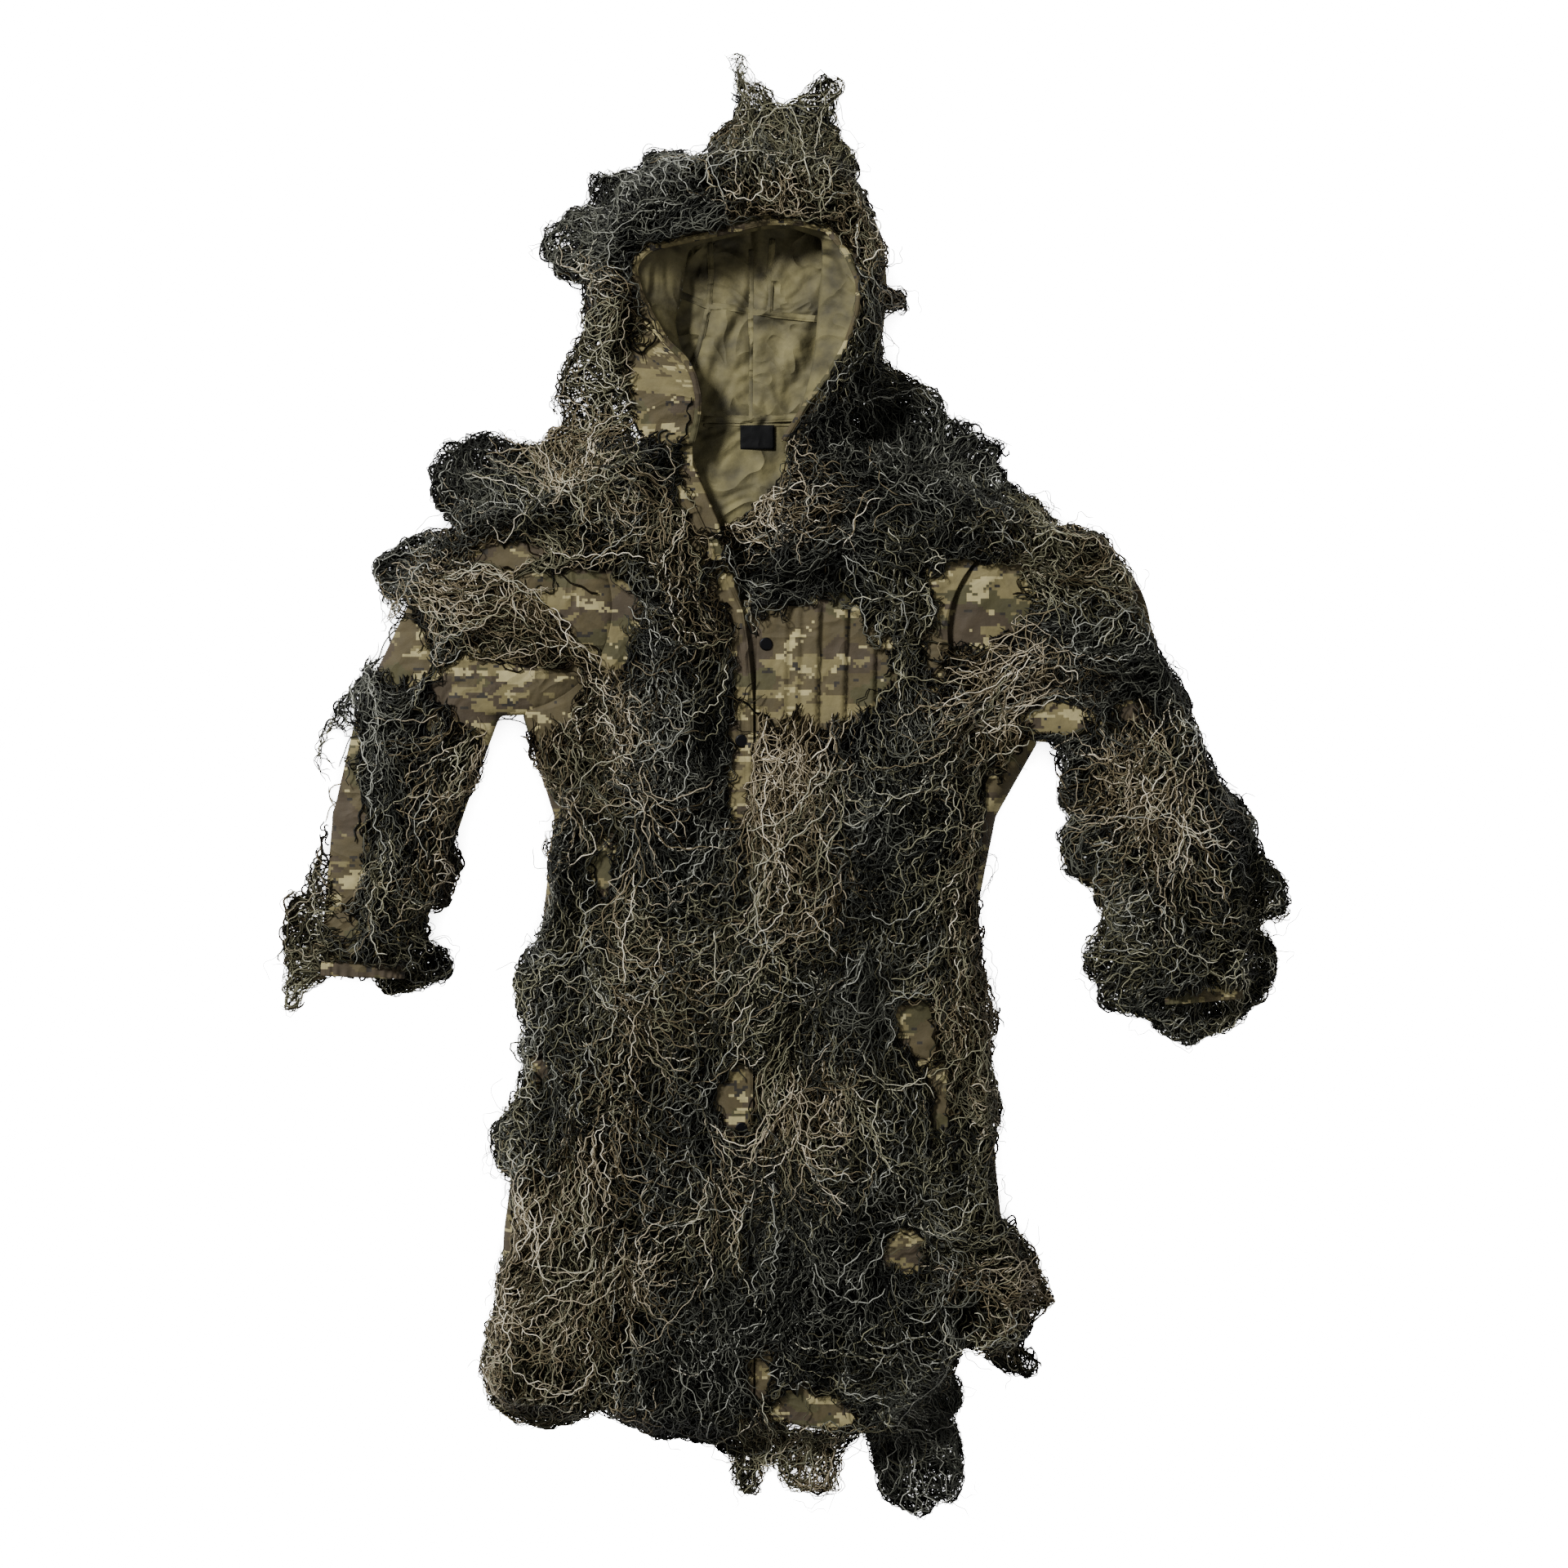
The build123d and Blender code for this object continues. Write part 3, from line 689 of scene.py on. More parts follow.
def free_room(x, y):
    """How far points lie inside the tufts and outside bare cloth."""
    return np.minimum(sample("hard", x, y), sample("bare", x, y))


def seed_points(kind, area, needed):
    """Points that bundles of one kind pass over, more of them along the edges."""
    x, y = scatter((-640, -920), (660, 930), math.sqrt(area))
    keep = free_room(x, y) > needed
    x, y = x[keep], y[keep]
    if kind == "stray":
        again = np.repeat(np.flatnonzero(sample("hard", x, y) < 26), 4)
    else:
        again = np.flatnonzero(sample("cloth", x, y) < 4)
    x = np.concatenate([x, x[again] + rng.uniform(-12, 12, len(again))])
    y = np.concatenate([y, y[again] + rng.uniform(-12, 12, len(again))])
    return x, y


def plan_bundles(kind, area, needed):
    """Root, heading, length and colour of each bundle of one kind, and whether it hangs past the cloth."""
    x, y = seed_points(kind, area, needed)
    patch, reach = nearest_patch(x, y)
    _, _, _, _, angle, mixes, reaches, thick = zip(*PATCHES)
    keep = rng.random(len(x)) < np.where(reach < 3, np.array(thick)[patch], 0.8)
    x, y, patch, reach = x[keep], y[keep], patch[keep], reach[keep]
    heading = np.radians(np.array(angle, float)[patch])
    tangle = np.where(y > 120, 1.0, 0.5)
    heading = heading + tangle * (0.6 * value_noise(x / 60, y / 60, 3) + rng.normal(0, 0.3, len(x)))
    length = np.array(reaches, float)[patch] * rng.uniform(0.75, 1.2, len(x))
    family = np.array(["kob".index(mixes[p][rng.integers(len(mixes[p]))]) for p in patch])
    family = np.where(reach > 4, 1, family)
    # Yarn that hangs past the edge of the cloth is rooted on the cloth.
    inward_x, inward_y = uphill("cloth", x, y)
    far = np.maximum(8 - sample("cloth", x, y), 0)
    outside = far > 0
    root_x = x + np.where(outside, inward_x * far, -np.cos(heading) * length * 0.4)
    root_y = y + np.where(outside, inward_y * far, -np.sin(heading) * length * 0.4)
    blocked = ~outside & (free_room(root_x, root_y) < 0)
    root_x, root_y = np.where(blocked, x, root_x), np.where(blocked, y, root_y)
    outward = np.arctan2(y - root_y, x - root_x) + rng.normal(0, 0.3, len(x))
    hang = far * rng.uniform(0.9, 1.5, len(x)) + rng.uniform(25, 60, len(x))
    heading, length = np.where(outside, outward, heading), np.where(outside, hang, length)
    return root_x, root_y, heading, length, family, outside


def spread_roots(root_x, root_y, aim, fringe, shape, spread):
    """Where each thread of a bundle starts: staggered along the lock, and a little to its sides."""
    forward = rng.normal(0, 1, shape) * np.where(fringe, 14.0, 26.0)[:, None]
    sideways = rng.normal(0, 1, shape) * np.where(fringe, 2 * spread, spread)[:, None]
    ahead_x, ahead_y = np.cos(aim)[:, None], np.sin(aim)[:, None]
    x = root_x[:, None] + forward * ahead_x - sideways * ahead_y
    y = root_y[:, None] + forward * ahead_y + sideways * ahead_x
    return x, y


def march(x, y, heading, step, turns, crimp, wave, phase, limits):
    """Walks the threads over the cloth. Turns bends them, crimp waves them, limits steer them off an edge."""
    paths = np.zeros((*x.shape, POINTS, 3))
    for k in range(POINTS):
        paths[..., k, 0], paths[..., k, 1] = x, y
        for name, margin, active in limits:
            near = np.clip((margin - sample(name, x, y)) / 7, 0, 1.6) * active
            heading = heading + steer(name, x, y, heading) * near * 0.85
        heading = heading + turns[0] + turns[1][..., k] + turns[2][..., k]
        lean = heading + crimp * np.cos(2 * math.pi * k / wave + phase)
        x = x + np.cos(lean) * step
        y = y + np.sin(lean) * step
    return paths


def grow(kind):
    """Paths of all threads of one kind in millimetres, with the tone and radius of each."""
    per_bundle, area, radius, levels, spread, wander, needed, past, bold = KINDS[kind]
    root_x, root_y, aim, length, family, fringe = plan_bundles(kind, area, needed)
    count = len(root_x)
    shape = (count, per_bundle)
    x, y = spread_roots(root_x, root_y, aim, fringe, shape, spread)
    heading = aim[:, None] + rng.normal(0, 0.2, shape)
    step = length[:, None] * rng.uniform(0.75, 1.1, shape) / (POINTS - 1)
    curl = rng.normal(0, 0.042, count)
    curl = np.where(rng.random(count) < 0.2, curl * 3.2, curl)
    drift = smooth_noise((count, 1, POINTS), 5) * 0.09
    own = smooth_noise((*shape, POINTS), 3.3) * wander
    wave = rng.uniform(19, 30, (count, 1)) * rng.uniform(0.9, 1.1, shape) / step
    phase = rng.uniform(0, 2 * math.pi, (count, 1)) + rng.normal(0, 1.1, shape)
    crimp = rng.uniform(0.3, 0.75, (count, 1)) * rng.uniform(0.7, 1.3, shape)
    over_bare = rng.random(shape) < bold
    hard_margin = rng.uniform(3, 15, (count, 1)) + rng.uniform(-past - 3, 3, shape)
    bare_margin = rng.uniform(-6, 12, (count, 1)) + rng.uniform(-4, 4, shape)
    limits = (("hard", hard_margin, True), ("bare", bare_margin, ~over_bare))
    paths = march(x, y, heading, step, (curl[:, None], drift, own), crimp, wave, phase, limits)
    level = rng.uniform(*levels, (count, 1, 1)) + rng.normal(0, 0.1, (*shape, 1))
    sway = smooth_noise((*shape, POINTS), 5) * 0.1
    rise = np.minimum(np.linspace(0, 1, POINTS) / 0.1 + 0.2, 1)
    level = np.clip(level + sway, 0.0, 1.04) * rise
    px, py = paths[..., 0], paths[..., 1]
    z = sample("height", px, py) + 1.0 + radius + sample("pile", px, py) * level
    paths[..., 2] = np.clip(z, 1.2, HIGHEST)
    bare = np.where(over_bare[..., None], 99, sample("bare", px, py))
    fine = ((sample("hard", px, py) < -past - 6).mean(2) < 0.05) & ((bare < -9).mean(2) < 0.08)
    # No loose end reaches the middle of the neck opening, where the blank label is.
    fine &= (sample("opening", px, py) > 14).mean(2) < 0.02
    # Painted light in the tone steps: threads higher in the pile get paler steps, a painted highlight, on top of a
    # random spread for the yarn's own tones. The under yarn gets only the darkest steps, painted shade deep in the
    # pile.
    shade = 2.5 * level.mean(2) + rng.normal(0, 0.9, shape) + rng.normal(0, 0.35, (count, 1))
    if kind == "under":
        shade = rng.uniform(-0.4, 1.2, shape)
    elif kind == "stray":
        shade = rng.normal(2.0, 0.9, shape)
    tones = family[:, None] * TONE_COUNT + np.clip(np.rint(shade), 0, TONE_COUNT - 1).astype(int)
    return paths[fine], tones[fine], np.full(fine.sum(), radius)


def grow_back():
    """Shorter, looser yarn under the coat, the sleeves and the hood."""
    rows = []
    for low, high, pitch in (((-250, 470), (150, 830), 15.0), ((-620, -900), (620, 470), 36.0)):
        x, y = scatter(low, high, pitch)
        keep = sample("cloth", x, y) > 14
        rows.append(np.stack([x[keep], y[keep]], -1))
    roots = np.concatenate(rows)
    count, per_bundle, points = len(roots), 4, 16
    shape = (count, per_bundle)
    x = roots[:, None, 0] + rng.normal(0, 6, shape)
    y = roots[:, None, 1] + rng.normal(0, 6, shape)
    heading = np.where(roots[:, 1] > 470, math.pi / 2, -math.pi / 2)[:, None] + rng.normal(0, 0.8, (count, 1))
    heading = heading + rng.normal(0, 0.2, shape)
    own = smooth_noise((*shape, points), 3) * 0.3
    FIELDS["edge"] = np.maximum(FIELDS["hard"], FIELDS["opening"])
    paths = np.zeros((*shape, points, 3))
    for k in range(points):
        paths[..., k, 0], paths[..., k, 1] = x, y
        near = np.clip((16 - sample("edge", x, y)) / 16, 0, 1.6)
        heading = heading + steer("edge", x, y, heading) * near * 0.8 + own[..., k]
        x, y = x + np.cos(heading) * 6.5, y + np.sin(heading) * 6.5
    level = rng.uniform(1.4, 7.6, (*shape, 1)) + smooth_noise((*shape, points), 5) * 0.5
    paths[..., 2] = np.clip(level, 1.3, 8.2)
    family = rng.integers(0, 3, (count, 1)) + np.zeros(shape, int)
    tones = family * TONE_COUNT + rng.integers(0, 4, shape)
    return paths.reshape(-1, points, 3), tones.ravel(), np.full(tones.size, 1.0)


def tubes(paths, radius):
    """Closed three-sided tubes along the paths: corners, side faces and end faces."""
    count, steps, _ = paths.shape
    ahead = np.gradient(paths, axis=1)
    ahead /= np.linalg.norm(ahead, axis=2, keepdims=True) + 1e-9
    side = np.cross(ahead, (0.0, 0.0, 1.0))
    side /= np.linalg.norm(side, axis=2, keepdims=True) + 1e-9
    over = np.cross(side, ahead)
    taper = np.ones(steps)
    taper[[0, -1]] = 0.55
    rings = []
    for angle in (90, 210, 330):
        a = math.radians(angle)
        offset = side * math.cos(a) + over * math.sin(a)
        rings.append(paths + offset * (radius[:, None] * taper)[..., None])
    corners = np.stack(rings, 2).reshape(-1, 3)
    ring = np.arange(steps - 1)[:, None] * 3 + np.arange(3)
    turned = np.arange(steps - 1)[:, None] * 3 + (np.arange(3) + 1) % 3
    quads = np.stack([ring, turned, turned + 3, ring + 3], -1).reshape(-1, 4)
    quads = (np.arange(count)[:, None, None] * steps * 3 + quads).reshape(-1, 4)
    ends = np.array([[2, 1, 0], [steps * 3 - 3, steps * 3 - 2, steps * 3 - 1]])
    caps = (np.arange(count)[:, None, None] * steps * 3 + ends).reshape(-1, 3)
    return corners, quads, caps


def yarn_piece(name, paths, tones, radius, materials):
    """One mesh of yarn. tones holds each thread's material."""
    used = np.unique(tones)
    corners, quads, caps = tubes(paths, radius * rng.uniform(0.85, 1.15, len(paths)))
    mesh = bpy.data.meshes.new(name)
    mesh.vertices.add(len(corners))
    mesh.vertices.foreach_set("co", (corners * MM).astype(np.float32).ravel())
    mesh.loops.add(quads.size + caps.size)
    mesh.loops.foreach_set("vertex_index", np.concatenate([quads.ravel(), caps.ravel()]).astype(np.int32))
    mesh.polygons.add(len(quads) + len(caps))
    sizes = np.concatenate([np.full(len(quads), 4), np.full(len(caps), 3)])
    starts = np.concatenate([[0], np.cumsum(sizes)[:-1]])
    mesh.polygons.foreach_set("loop_start", starts.astype(np.int32))
    slots = np.searchsorted(used, tones)
    index = np.concatenate([np.repeat(slots, len(faces) // len(paths)) for faces in (quads, caps)])
    mesh.polygons.foreach_set("material_index", index.astype(np.int32))
    for tone in used:
        mesh.materials.append(materials[tone])
    mesh.update()
    mesh.polygons.foreach_set("use_smooth", np.ones(len(index), bool))
    return add_piece(name, mesh)


def add_piece(name, mesh):
    """A mesh as an object of the scene."""
    piece = bpy.data.objects.new(name, mesh)
    bpy.context.scene.collection.objects.link(piece)
    return piece


def on_flap(side, x, y):
    """Whether points lie on the side of a front's fold that opens."""
    (ax, ay), (bx, by) = FOLD[side]
    across = (bx - ax) * (y - ay) - (by - ay) * (x - ax)
    return across > 0 if side == "right" else across < 0


def nodes_of(x, y, back):
    """The yarn node that each thread belongs to, by where it lies."""
    names = np.full(x.shape, "", dtype=object)
    for side, sign in (("right", -1), ("left", 1)):
        half = x < MIDDLE if side == "right" else x >= MIDDLE
        px, py = PIVOT[side]
        flap = on_flap(side, x, y)
        for band, low, high in (("upper", 60, 9999), ("waist", -340, 60), ("skirt", -9999, -340)):
            here = half & (y > low) & (y <= high)
            names[here & flap] = f"{side}_front_{band}_yarn"
            names[here & ~flap] = f"{side}_side_{band}_yarn"
        if back:
            names[half & (y > -340)] = "back_upper_yarn"
            names[half & (y <= -340)] = "back_skirt_yarn"
        arm = (np.hypot(x - px, y - py) < ARMHOLE_R[side]) | (x * sign > abs(px))
        arm &= (y < 460) & (y > -420)
        names[arm & (y > 20)] = f"{side}_upper_arm_yarn"
        names[arm & (y <= 20)] = f"{side}_forearm_yarn"
        if back:
            names[arm] = f"{side}_sleeve_back_yarn"
    hood = (y > 452) & (x < 160) | ((y > 425) & (x < -150) & (x > -300))
    names[hood & (x < -42)] = "hood_right_yarn"
    names[hood & (x >= -42)] = "hood_left_yarn"
    names[hood & (y > 690)] = "hood_crown_yarn"
    if back:
        names[hood] = "hood_back_yarn"
    return names


def make_yarn():
    """All yarn, in pieces of a size that stays easy to handle: (node, piece) pairs."""
    materials = make_yarn_materials()
    made = []
    front = [np.concatenate(part) for part in zip(*[grow(kind) for kind in KINDS])]
    for (paths, tones, radius), back in ((front, False), (grow_back(), True)):
        middle = paths[:, :, :2].mean(1)
        names = nodes_of(middle[:, 0], middle[:, 1], back)
        for name in sorted(set(names)):
            mine = np.flatnonzero(names == name)
            mine = mine[np.argsort(-middle[mine, 1], kind="stable")]
            parts = max(1, math.ceil(len(mine) / LARGEST_PIECE))
            for k, part in enumerate(np.array_split(mine, parts)):
                piece = yarn_piece(f"{name}_threads_{k + 1}", paths[part], tones[part], radius[part], materials)
                family = np.bincount(tones[part] // TONE_COUNT).argmax()
                made.append((name, piece))
    return made


# ---------------------------------------------------------------- cloth

LINING_Z = 12.0
FACE_Z = 38.0
CLOTH = 1.4
FOOT_Y = -780.0
# How wide the outer face is in the map for baking.
CHART_WIDTH = 0.48
# The hood's points round its rim, its points from the rim inwards, and how many of those are its wall.
HOOD_RING = 190
HOOD_ACROSS = 96
HOOD_WALL = 34

SHOULDER = {"right": (-305.0, 349.0), "left": (300.0, 321.0)}
FRONT_EDGE = {
    "right": [(-113, 447), (-112, 392), (-80, 320), (-60, 245), (-46, 200), (-38, 80), (-38, -780)],
    "left": [(14, 447), (10, 392), (-4, 330), (-28, 245), (-33, 200), (-35, 80), (-35, -780)],
}
SIDE_SEAM = {
    "right": [(-322, 82), (-284, -40), (-296, -150), (-346, -560), (-354, -742), (-354, -790)],
    "left": [(312, 49), (262, -40), (240, -150), (268, -560), (298, -672), (300, -790)],
}
NECK_X = {"right": -120.0, "left": 30.0}
HEM = [(-370, -744), (-200, -772), (-38, -784), (90, -798), (126, -786), (205, -700), (240, -688), (310, -670)]
FACING = [
    (-116, 418, 36), (-110, 446, 42), (-108, 471, 48), (-112, 497, 50), (-118, 516, 48), (-130, 548, 42),
    (-134, 570, 38), (-127, 588, 34), (-123, 622, 32), (-120, 640, 36), (-118, 652, 44), (-108, 658, 58),
    (-70, 667, 58), (-25, 678, 58), (9, 679, 58), (46, 668, 50), (47, 645, 40), (44, 611, 34), (41, 575, 34),
    (38, 535, 38), (31, 497, 44), (22, 466, 46), (12, 446, 44), (-3, 421, 38),
]
HOOD_SIDE = [
    (-168, 412, 30), (-180, 440, 34), (-192, 475, 36), (-204, 510, 38), (-212, 540, 40), (-218, 575, 42),
    (-222, 610, 44), (-221, 645, 44), (-214, 680, 44), (-198, 706, 44), (-175, 728, 44), (-135, 748, 44),
    (-90, 760, 44), (-42, 766, 44), (10, 763, 44), (62, 748, 44), (100, 715, 44), (122, 665, 44), (126, 610, 43),
    (121, 560, 41), (112, 515, 38), (98, 475, 36), (80, 442, 34), (62, 412, 30),
]
HOOD_SPINE = [(-42, 440), (-42, 500), (-42, 560), (-42, 610), (-42, 640), (-42, 655)]


def folds(x, y, angle, along, across, seed):
    """Soft folds and sharper creases that run along a direction in degrees: about -1 to 1."""
    a = math.radians(angle)
    u = x * math.cos(a) + y * math.sin(a)
    v = -x * math.sin(a) + y * math.cos(a) + 0.35 * across * value_noise(x / 60, y / 60, seed + 5)
    soft = value_noise(u / along, v / across, seed)
    crease = 1 - 2.2 * np.abs(value_noise(u / along + 7, v / across * 0.8, seed + 1))
    return 0.55 * soft + 0.45 * crease


def along(points, count):
    """Points of a polyline at equal steps."""
    line = np.array(points, float)
    reach = np.concatenate([[0], np.cumsum(np.linalg.norm(np.diff(line, axis=0), axis=1))])
    at = np.linspace(0, reach[-1], count)
    return np.stack([np.interp(at, reach, line[:, k]) for k in range(line.shape[1])], -1)


def eased(points, count, times=3):
    """A polyline with rounded corners, at equal steps."""
    line = along(points, count)
    for _ in range(times):
        line[1:-1] = (line[:-2] + 2 * line[1:-1] + line[2:]) / 4
    return line


def at_height(points, y):
    """The x of a boundary at each y."""
    line = np.array(sorted(points, key=lambda p: p[1]), float)
    return np.interp(y, line[:, 1], line[:, 0])


def at_place(points, x):
    """The y of a boundary at each x."""
    line = np.array(sorted(points), float)
    return np.interp(x, line[:, 0], line[:, 1])


def side_edge(side, y, lap=0.0):
    """The outer edge of the body's cloth: shoulder, armhole, side seam."""
    sign = -1 if side == "right" else 1
    x = at_height([*SIDE_SEAM[side], SHOULDER[side], (NECK_X[side], NECK_Y)], y)
    px, py = PIVOT[side]
    radius = ARMHOLE_R[side] - lap
    arc = px - sign * np.sqrt(np.maximum(radius**2 - (y - py) ** 2, 0))
    return np.where(np.abs(y - py) < radius, sign * np.minimum(sign * x, sign * arc), x)


def sheet_faces(rows, cols, wrap):
    """Faces of a sheet of rows by cols points and of its under side: the top, the bottom, the edges."""
    count = rows * cols
    index = np.arange(count).reshape(rows, cols)
    right = np.roll(index, -1, 1) if wrap else index[:, 1:]
    left = index if wrap else index[:, :-1]
    top = np.stack([left[:-1], right[:-1], right[1:], left[1:]], -1).reshape(-1, 4)
    borders = [(left[0], right[0]), (right[-1], left[-1])]
    if not wrap:
        borders += [(index[:-1, -1], index[1:, -1]), (index[1:, 0], index[:-1, 0])]
    edges = [np.stack([b, a, a + count, b + count], -1) for a, b in borders]
    return top, top[:, ::-1] + count, np.concatenate(edges)


def mesh_piece(name, corners, faces, slots, materials):
    mesh = bpy.data.meshes.new(name)
    mesh.from_pydata((corners * MM).tolist(), [], faces.tolist())
    for material in materials:
        mesh.materials.append(material)
    mesh.polygons.foreach_set("material_index", slots.astype(np.int32))
    mesh.polygons.foreach_set("use_smooth", np.ones(len(faces), bool))
    mesh.update()
    return add_piece(name, mesh)


def write_map(piece, layer, values, faces, tube=False):
    """One UV map from a place for each corner. The faces across the seam of a tube stay in one piece."""
    spread = values[faces.ravel()].reshape(-1, 4, 2)
    if tube:
        base = spread[..., 0].min(1, keepdims=True)
        seam = spread[..., 0].max(1, keepdims=True) - base > 0.3
        behind = seam & (spread[..., 0] < base + 0.2)
        spread[..., 0] = np.where(behind, spread[..., 0] + CHART_WIDTH, spread[..., 0])
    uv = piece.data.uv_layers.new(name=layer)
    uv.data.foreach_set("uv", spread.astype(np.float32).ravel())


def cloth(name, grid, outer, inner, thick=CLOTH, wrap=False, pattern=None):
    """A sheet with real thickness from a grid of points on its outer face. Wrap closes the columns to a tube."""
    rows, cols, _ = grid.shape
    du = (np.roll(grid, -1, 1) - np.roll(grid, 1, 1)) / 2 if wrap else np.gradient(grid, axis=1)
    normal = np.cross(du, np.gradient(grid, axis=0))
    normal /= np.linalg.norm(normal, axis=2, keepdims=True) + 1e-9
    corners = np.concatenate([grid.reshape(-1, 3), (grid - normal * thick).reshape(-1, 3)])
    top, below, edge = sheet_faces(rows, cols, wrap)
    faces = np.concatenate([top, below, edge])
    slots = np.concatenate([np.zeros(len(top)), np.ones(len(below)), np.zeros(len(edge))])
    piece = mesh_piece(name, corners, faces, slots, [outer, inner])
    flat = (grid[..., :2] if pattern is None else pattern).reshape(-1, 2)
    c, r = np.meshgrid(np.arange(cols) / cols, np.arange(rows) / (rows - 1))
    chart = np.stack([0.01 + CHART_WIDTH * c, 0.01 + 0.98 * r], -1).reshape(-1, 2)
    write_map(piece, "cloth", np.concatenate([flat, flat + 900.0]) * MM, faces)
    write_map(piece, "OFBake", np.concatenate([chart, chart + (0.5, 0.0)]), faces, wrap)
    piece.data.uv_layers["cloth"].active_render = True
    piece.data.uv_layers.active = piece.data.uv_layers["cloth"]
    return piece


# ---------------------------------------------------------------- fronts and back

def front_height(side, x, y):
    """Top of a front's cloth, with its folds and the pressed pleats of the chest."""
    sign = -1 if side == "right" else 1
    z = FACE_Z + 2.4 * folds(x, y, 90 - 6 * sign, 170, 24, 3)
    z = z + 1.8 * folds(x, y, 35 * sign, 120, 30, 9)
    if side == "left":
        chest = np.clip((y - 30) / 40, 0, 1) * np.clip((250 - y) / 40, 0, 1)
        for pleat, drop in ((4, 3.4), (20, 3.2), (43, 6.5), (76, 6.0), (112, 5.6)):
            past = x - (pleat + 0.03 * (y - 150))
            step = np.clip((past + 2) / 3, 0, 1)
            before = np.exp(-np.maximum(-past, 0) / 14) * (1 - step)
            behind = 0.35 * step * np.exp(-np.maximum(past, 0) / 10)
            z = z + chest * drop * (before - behind)
    return z


def near_hem(y):
    """Rises from 0 to 1 over the last 300 mm above the foot of the coat."""
    return np.clip((FOOT_Y + 300 - y) / 300, 0, 1)


def to_hem(x, y):
    """Rows that end at the foot's height moved so that they end along the hem."""
    return y + near_hem(y) * (at_place(HEM, x) - FOOT_Y + 3 * value_noise(x / 40, x * 0, 17))


def make_front(side):
    """A front from its edge round to the side seam, as one sheet."""
    rows, cols = 300, 90
    y = np.linspace(NECK_Y - 1, FOOT_Y, rows)
    edge = at_height(FRONT_EDGE[side], y)[:, None]
    seam = side_edge(side, y, lap=9.0)[:, None]
    x = edge + (seam - edge) * (1 - (1 - np.linspace(0, 1, cols)) ** 1.15)
    yy = to_hem(x, np.repeat(y[:, None], cols, 1))
    armhole = np.clip((ARMHOLE_R[side] - np.abs(y - PIVOT[side][1])) / 24, 0, 1)[:, None]
    rim = np.clip(np.abs(x - seam) / 26, 0, 1)
    drop = 1 - np.sqrt(np.clip(1 - (1 - rim) ** 2, 0, 1))
    z = front_height(side, x, yy) - (1 - armhole) * drop * (FACE_Z - LINING_Z - 1) + armhole * 0.8
    if side == "left":
        z = z - 3.2 * np.exp(-np.maximum(x - edge, 0) / 40)
    grid = np.stack([x, yy, z], -1)
    if side == "right":
        grid = grid[:, ::-1]
    return cloth(f"{side}_front_cloth", grid[::-1], CAMO, LINING)


def make_back():
    """The back with its lining up, from one side seam to the other, lower along its rim."""
    rows, cols = 200, 120
    low = 10.5
    y = np.linspace(NECK_Y - 1, FOOT_Y, rows)
    start = side_edge("right", y)[:, None]
    span = side_edge("left", y)[:, None] - start
    u = np.linspace(0, 1, cols)
    x = start + span * u
    yy = to_hem(x, np.repeat(y[:, None], cols, 1)) + 4 * near_hem(y)[:, None]
    z = LINING_Z + 2.0 + 2.6 * folds(x, yy, 15, 90, 30, 31) + 1.6 * folds(x, yy, -60, 110, 24, 37)
    rim = np.minimum(u, 1 - u) * span
    z = low + (z - low) * np.clip(rim / 40, 0, 1)
    return cloth("back_cloth", np.stack([x, yy, z], -1)[::-1], LINING, CAMO)


# ---------------------------------------------------------------- sleeves

def sleeve_edges(side):
    """Outer and inner edges of a sleeve's cloth in plan, from its head to the cuff."""
    px, py = PIVOT[side]
    if side == "right":
        start, outer_end, inner_end = 67, 172, -95
        outer = [(-492, 160), (-526, 90), (-556, -40), (-571, -212)]
        inner = [(-392, -30), (-428, -140), (-463, -216)]
    else:
        start, outer_end, inner_end = 113, 6, 274
        outer = [(474, 120), (524, 20), (556, -80), (566, -240)]
        inner = [(390, -50), (430, -160), (466, -248)]
    arcs = []
    for end, radius in ((outer_end, ARMHOLE_R[side] - 16.0), (inner_end, ARMHOLE_R[side] - 3.0)):
        turn = np.radians(np.linspace(start, end, 40))
        arcs.append([(px + radius * math.cos(a), py + radius * math.sin(a)) for a in turn])
    return arcs[0] + outer, arcs[1] + inner


def tube_section(count):
    """The turn of each point round a flattened tube, and how far out and how high it lies, -1 to 1."""
    turn = np.linspace(0, 2 * math.pi, count, endpoint=False)
    wide = np.sign(np.cos(turn)) * np.abs(np.cos(turn)) ** 0.75
    high = np.sign(np.sin(turn)) * np.abs(np.sin(turn)) ** 0.8
    return turn, wide, high


def make_sleeve(side):
    """A sleeve as a flattened tube, creased on its upper face."""
    rows, cols = 190, 112
    outer, inner = (eased(edge, rows) for edge in sleeve_edges(side))
    middle, half = (outer + inner) / 2, (outer - inner) / 2
    _, wide, high = tube_section(cols)
    x = middle[:, None, 0] + half[:, None, 0] * wide
    y = middle[:, None, 1] + half[:, None, 1] * wide
    crown = 13.6 * np.clip(np.linspace(0, 1, rows) / 0.06, 0.15, 1) ** 0.5
    lean = -62 if side == "right" else -118
    creases = 2.6 * folds(x, y, lean + 78, 90, 30, 51) + 2.2 * folds(x, y, lean, 150, 24, 57)
    z = (LINING_Z - 1.5 + FACE_Z) / 2 + crown[:, None] * high + np.clip(high, 0, 1) * creases
    grid = np.stack([x, y, z], -1)[1:]
    if side == "right":
        grid = grid[:, ::-1]
    return cloth(f"{side}_sleeve_tube", grid, CAMO, LINING, wrap=True)


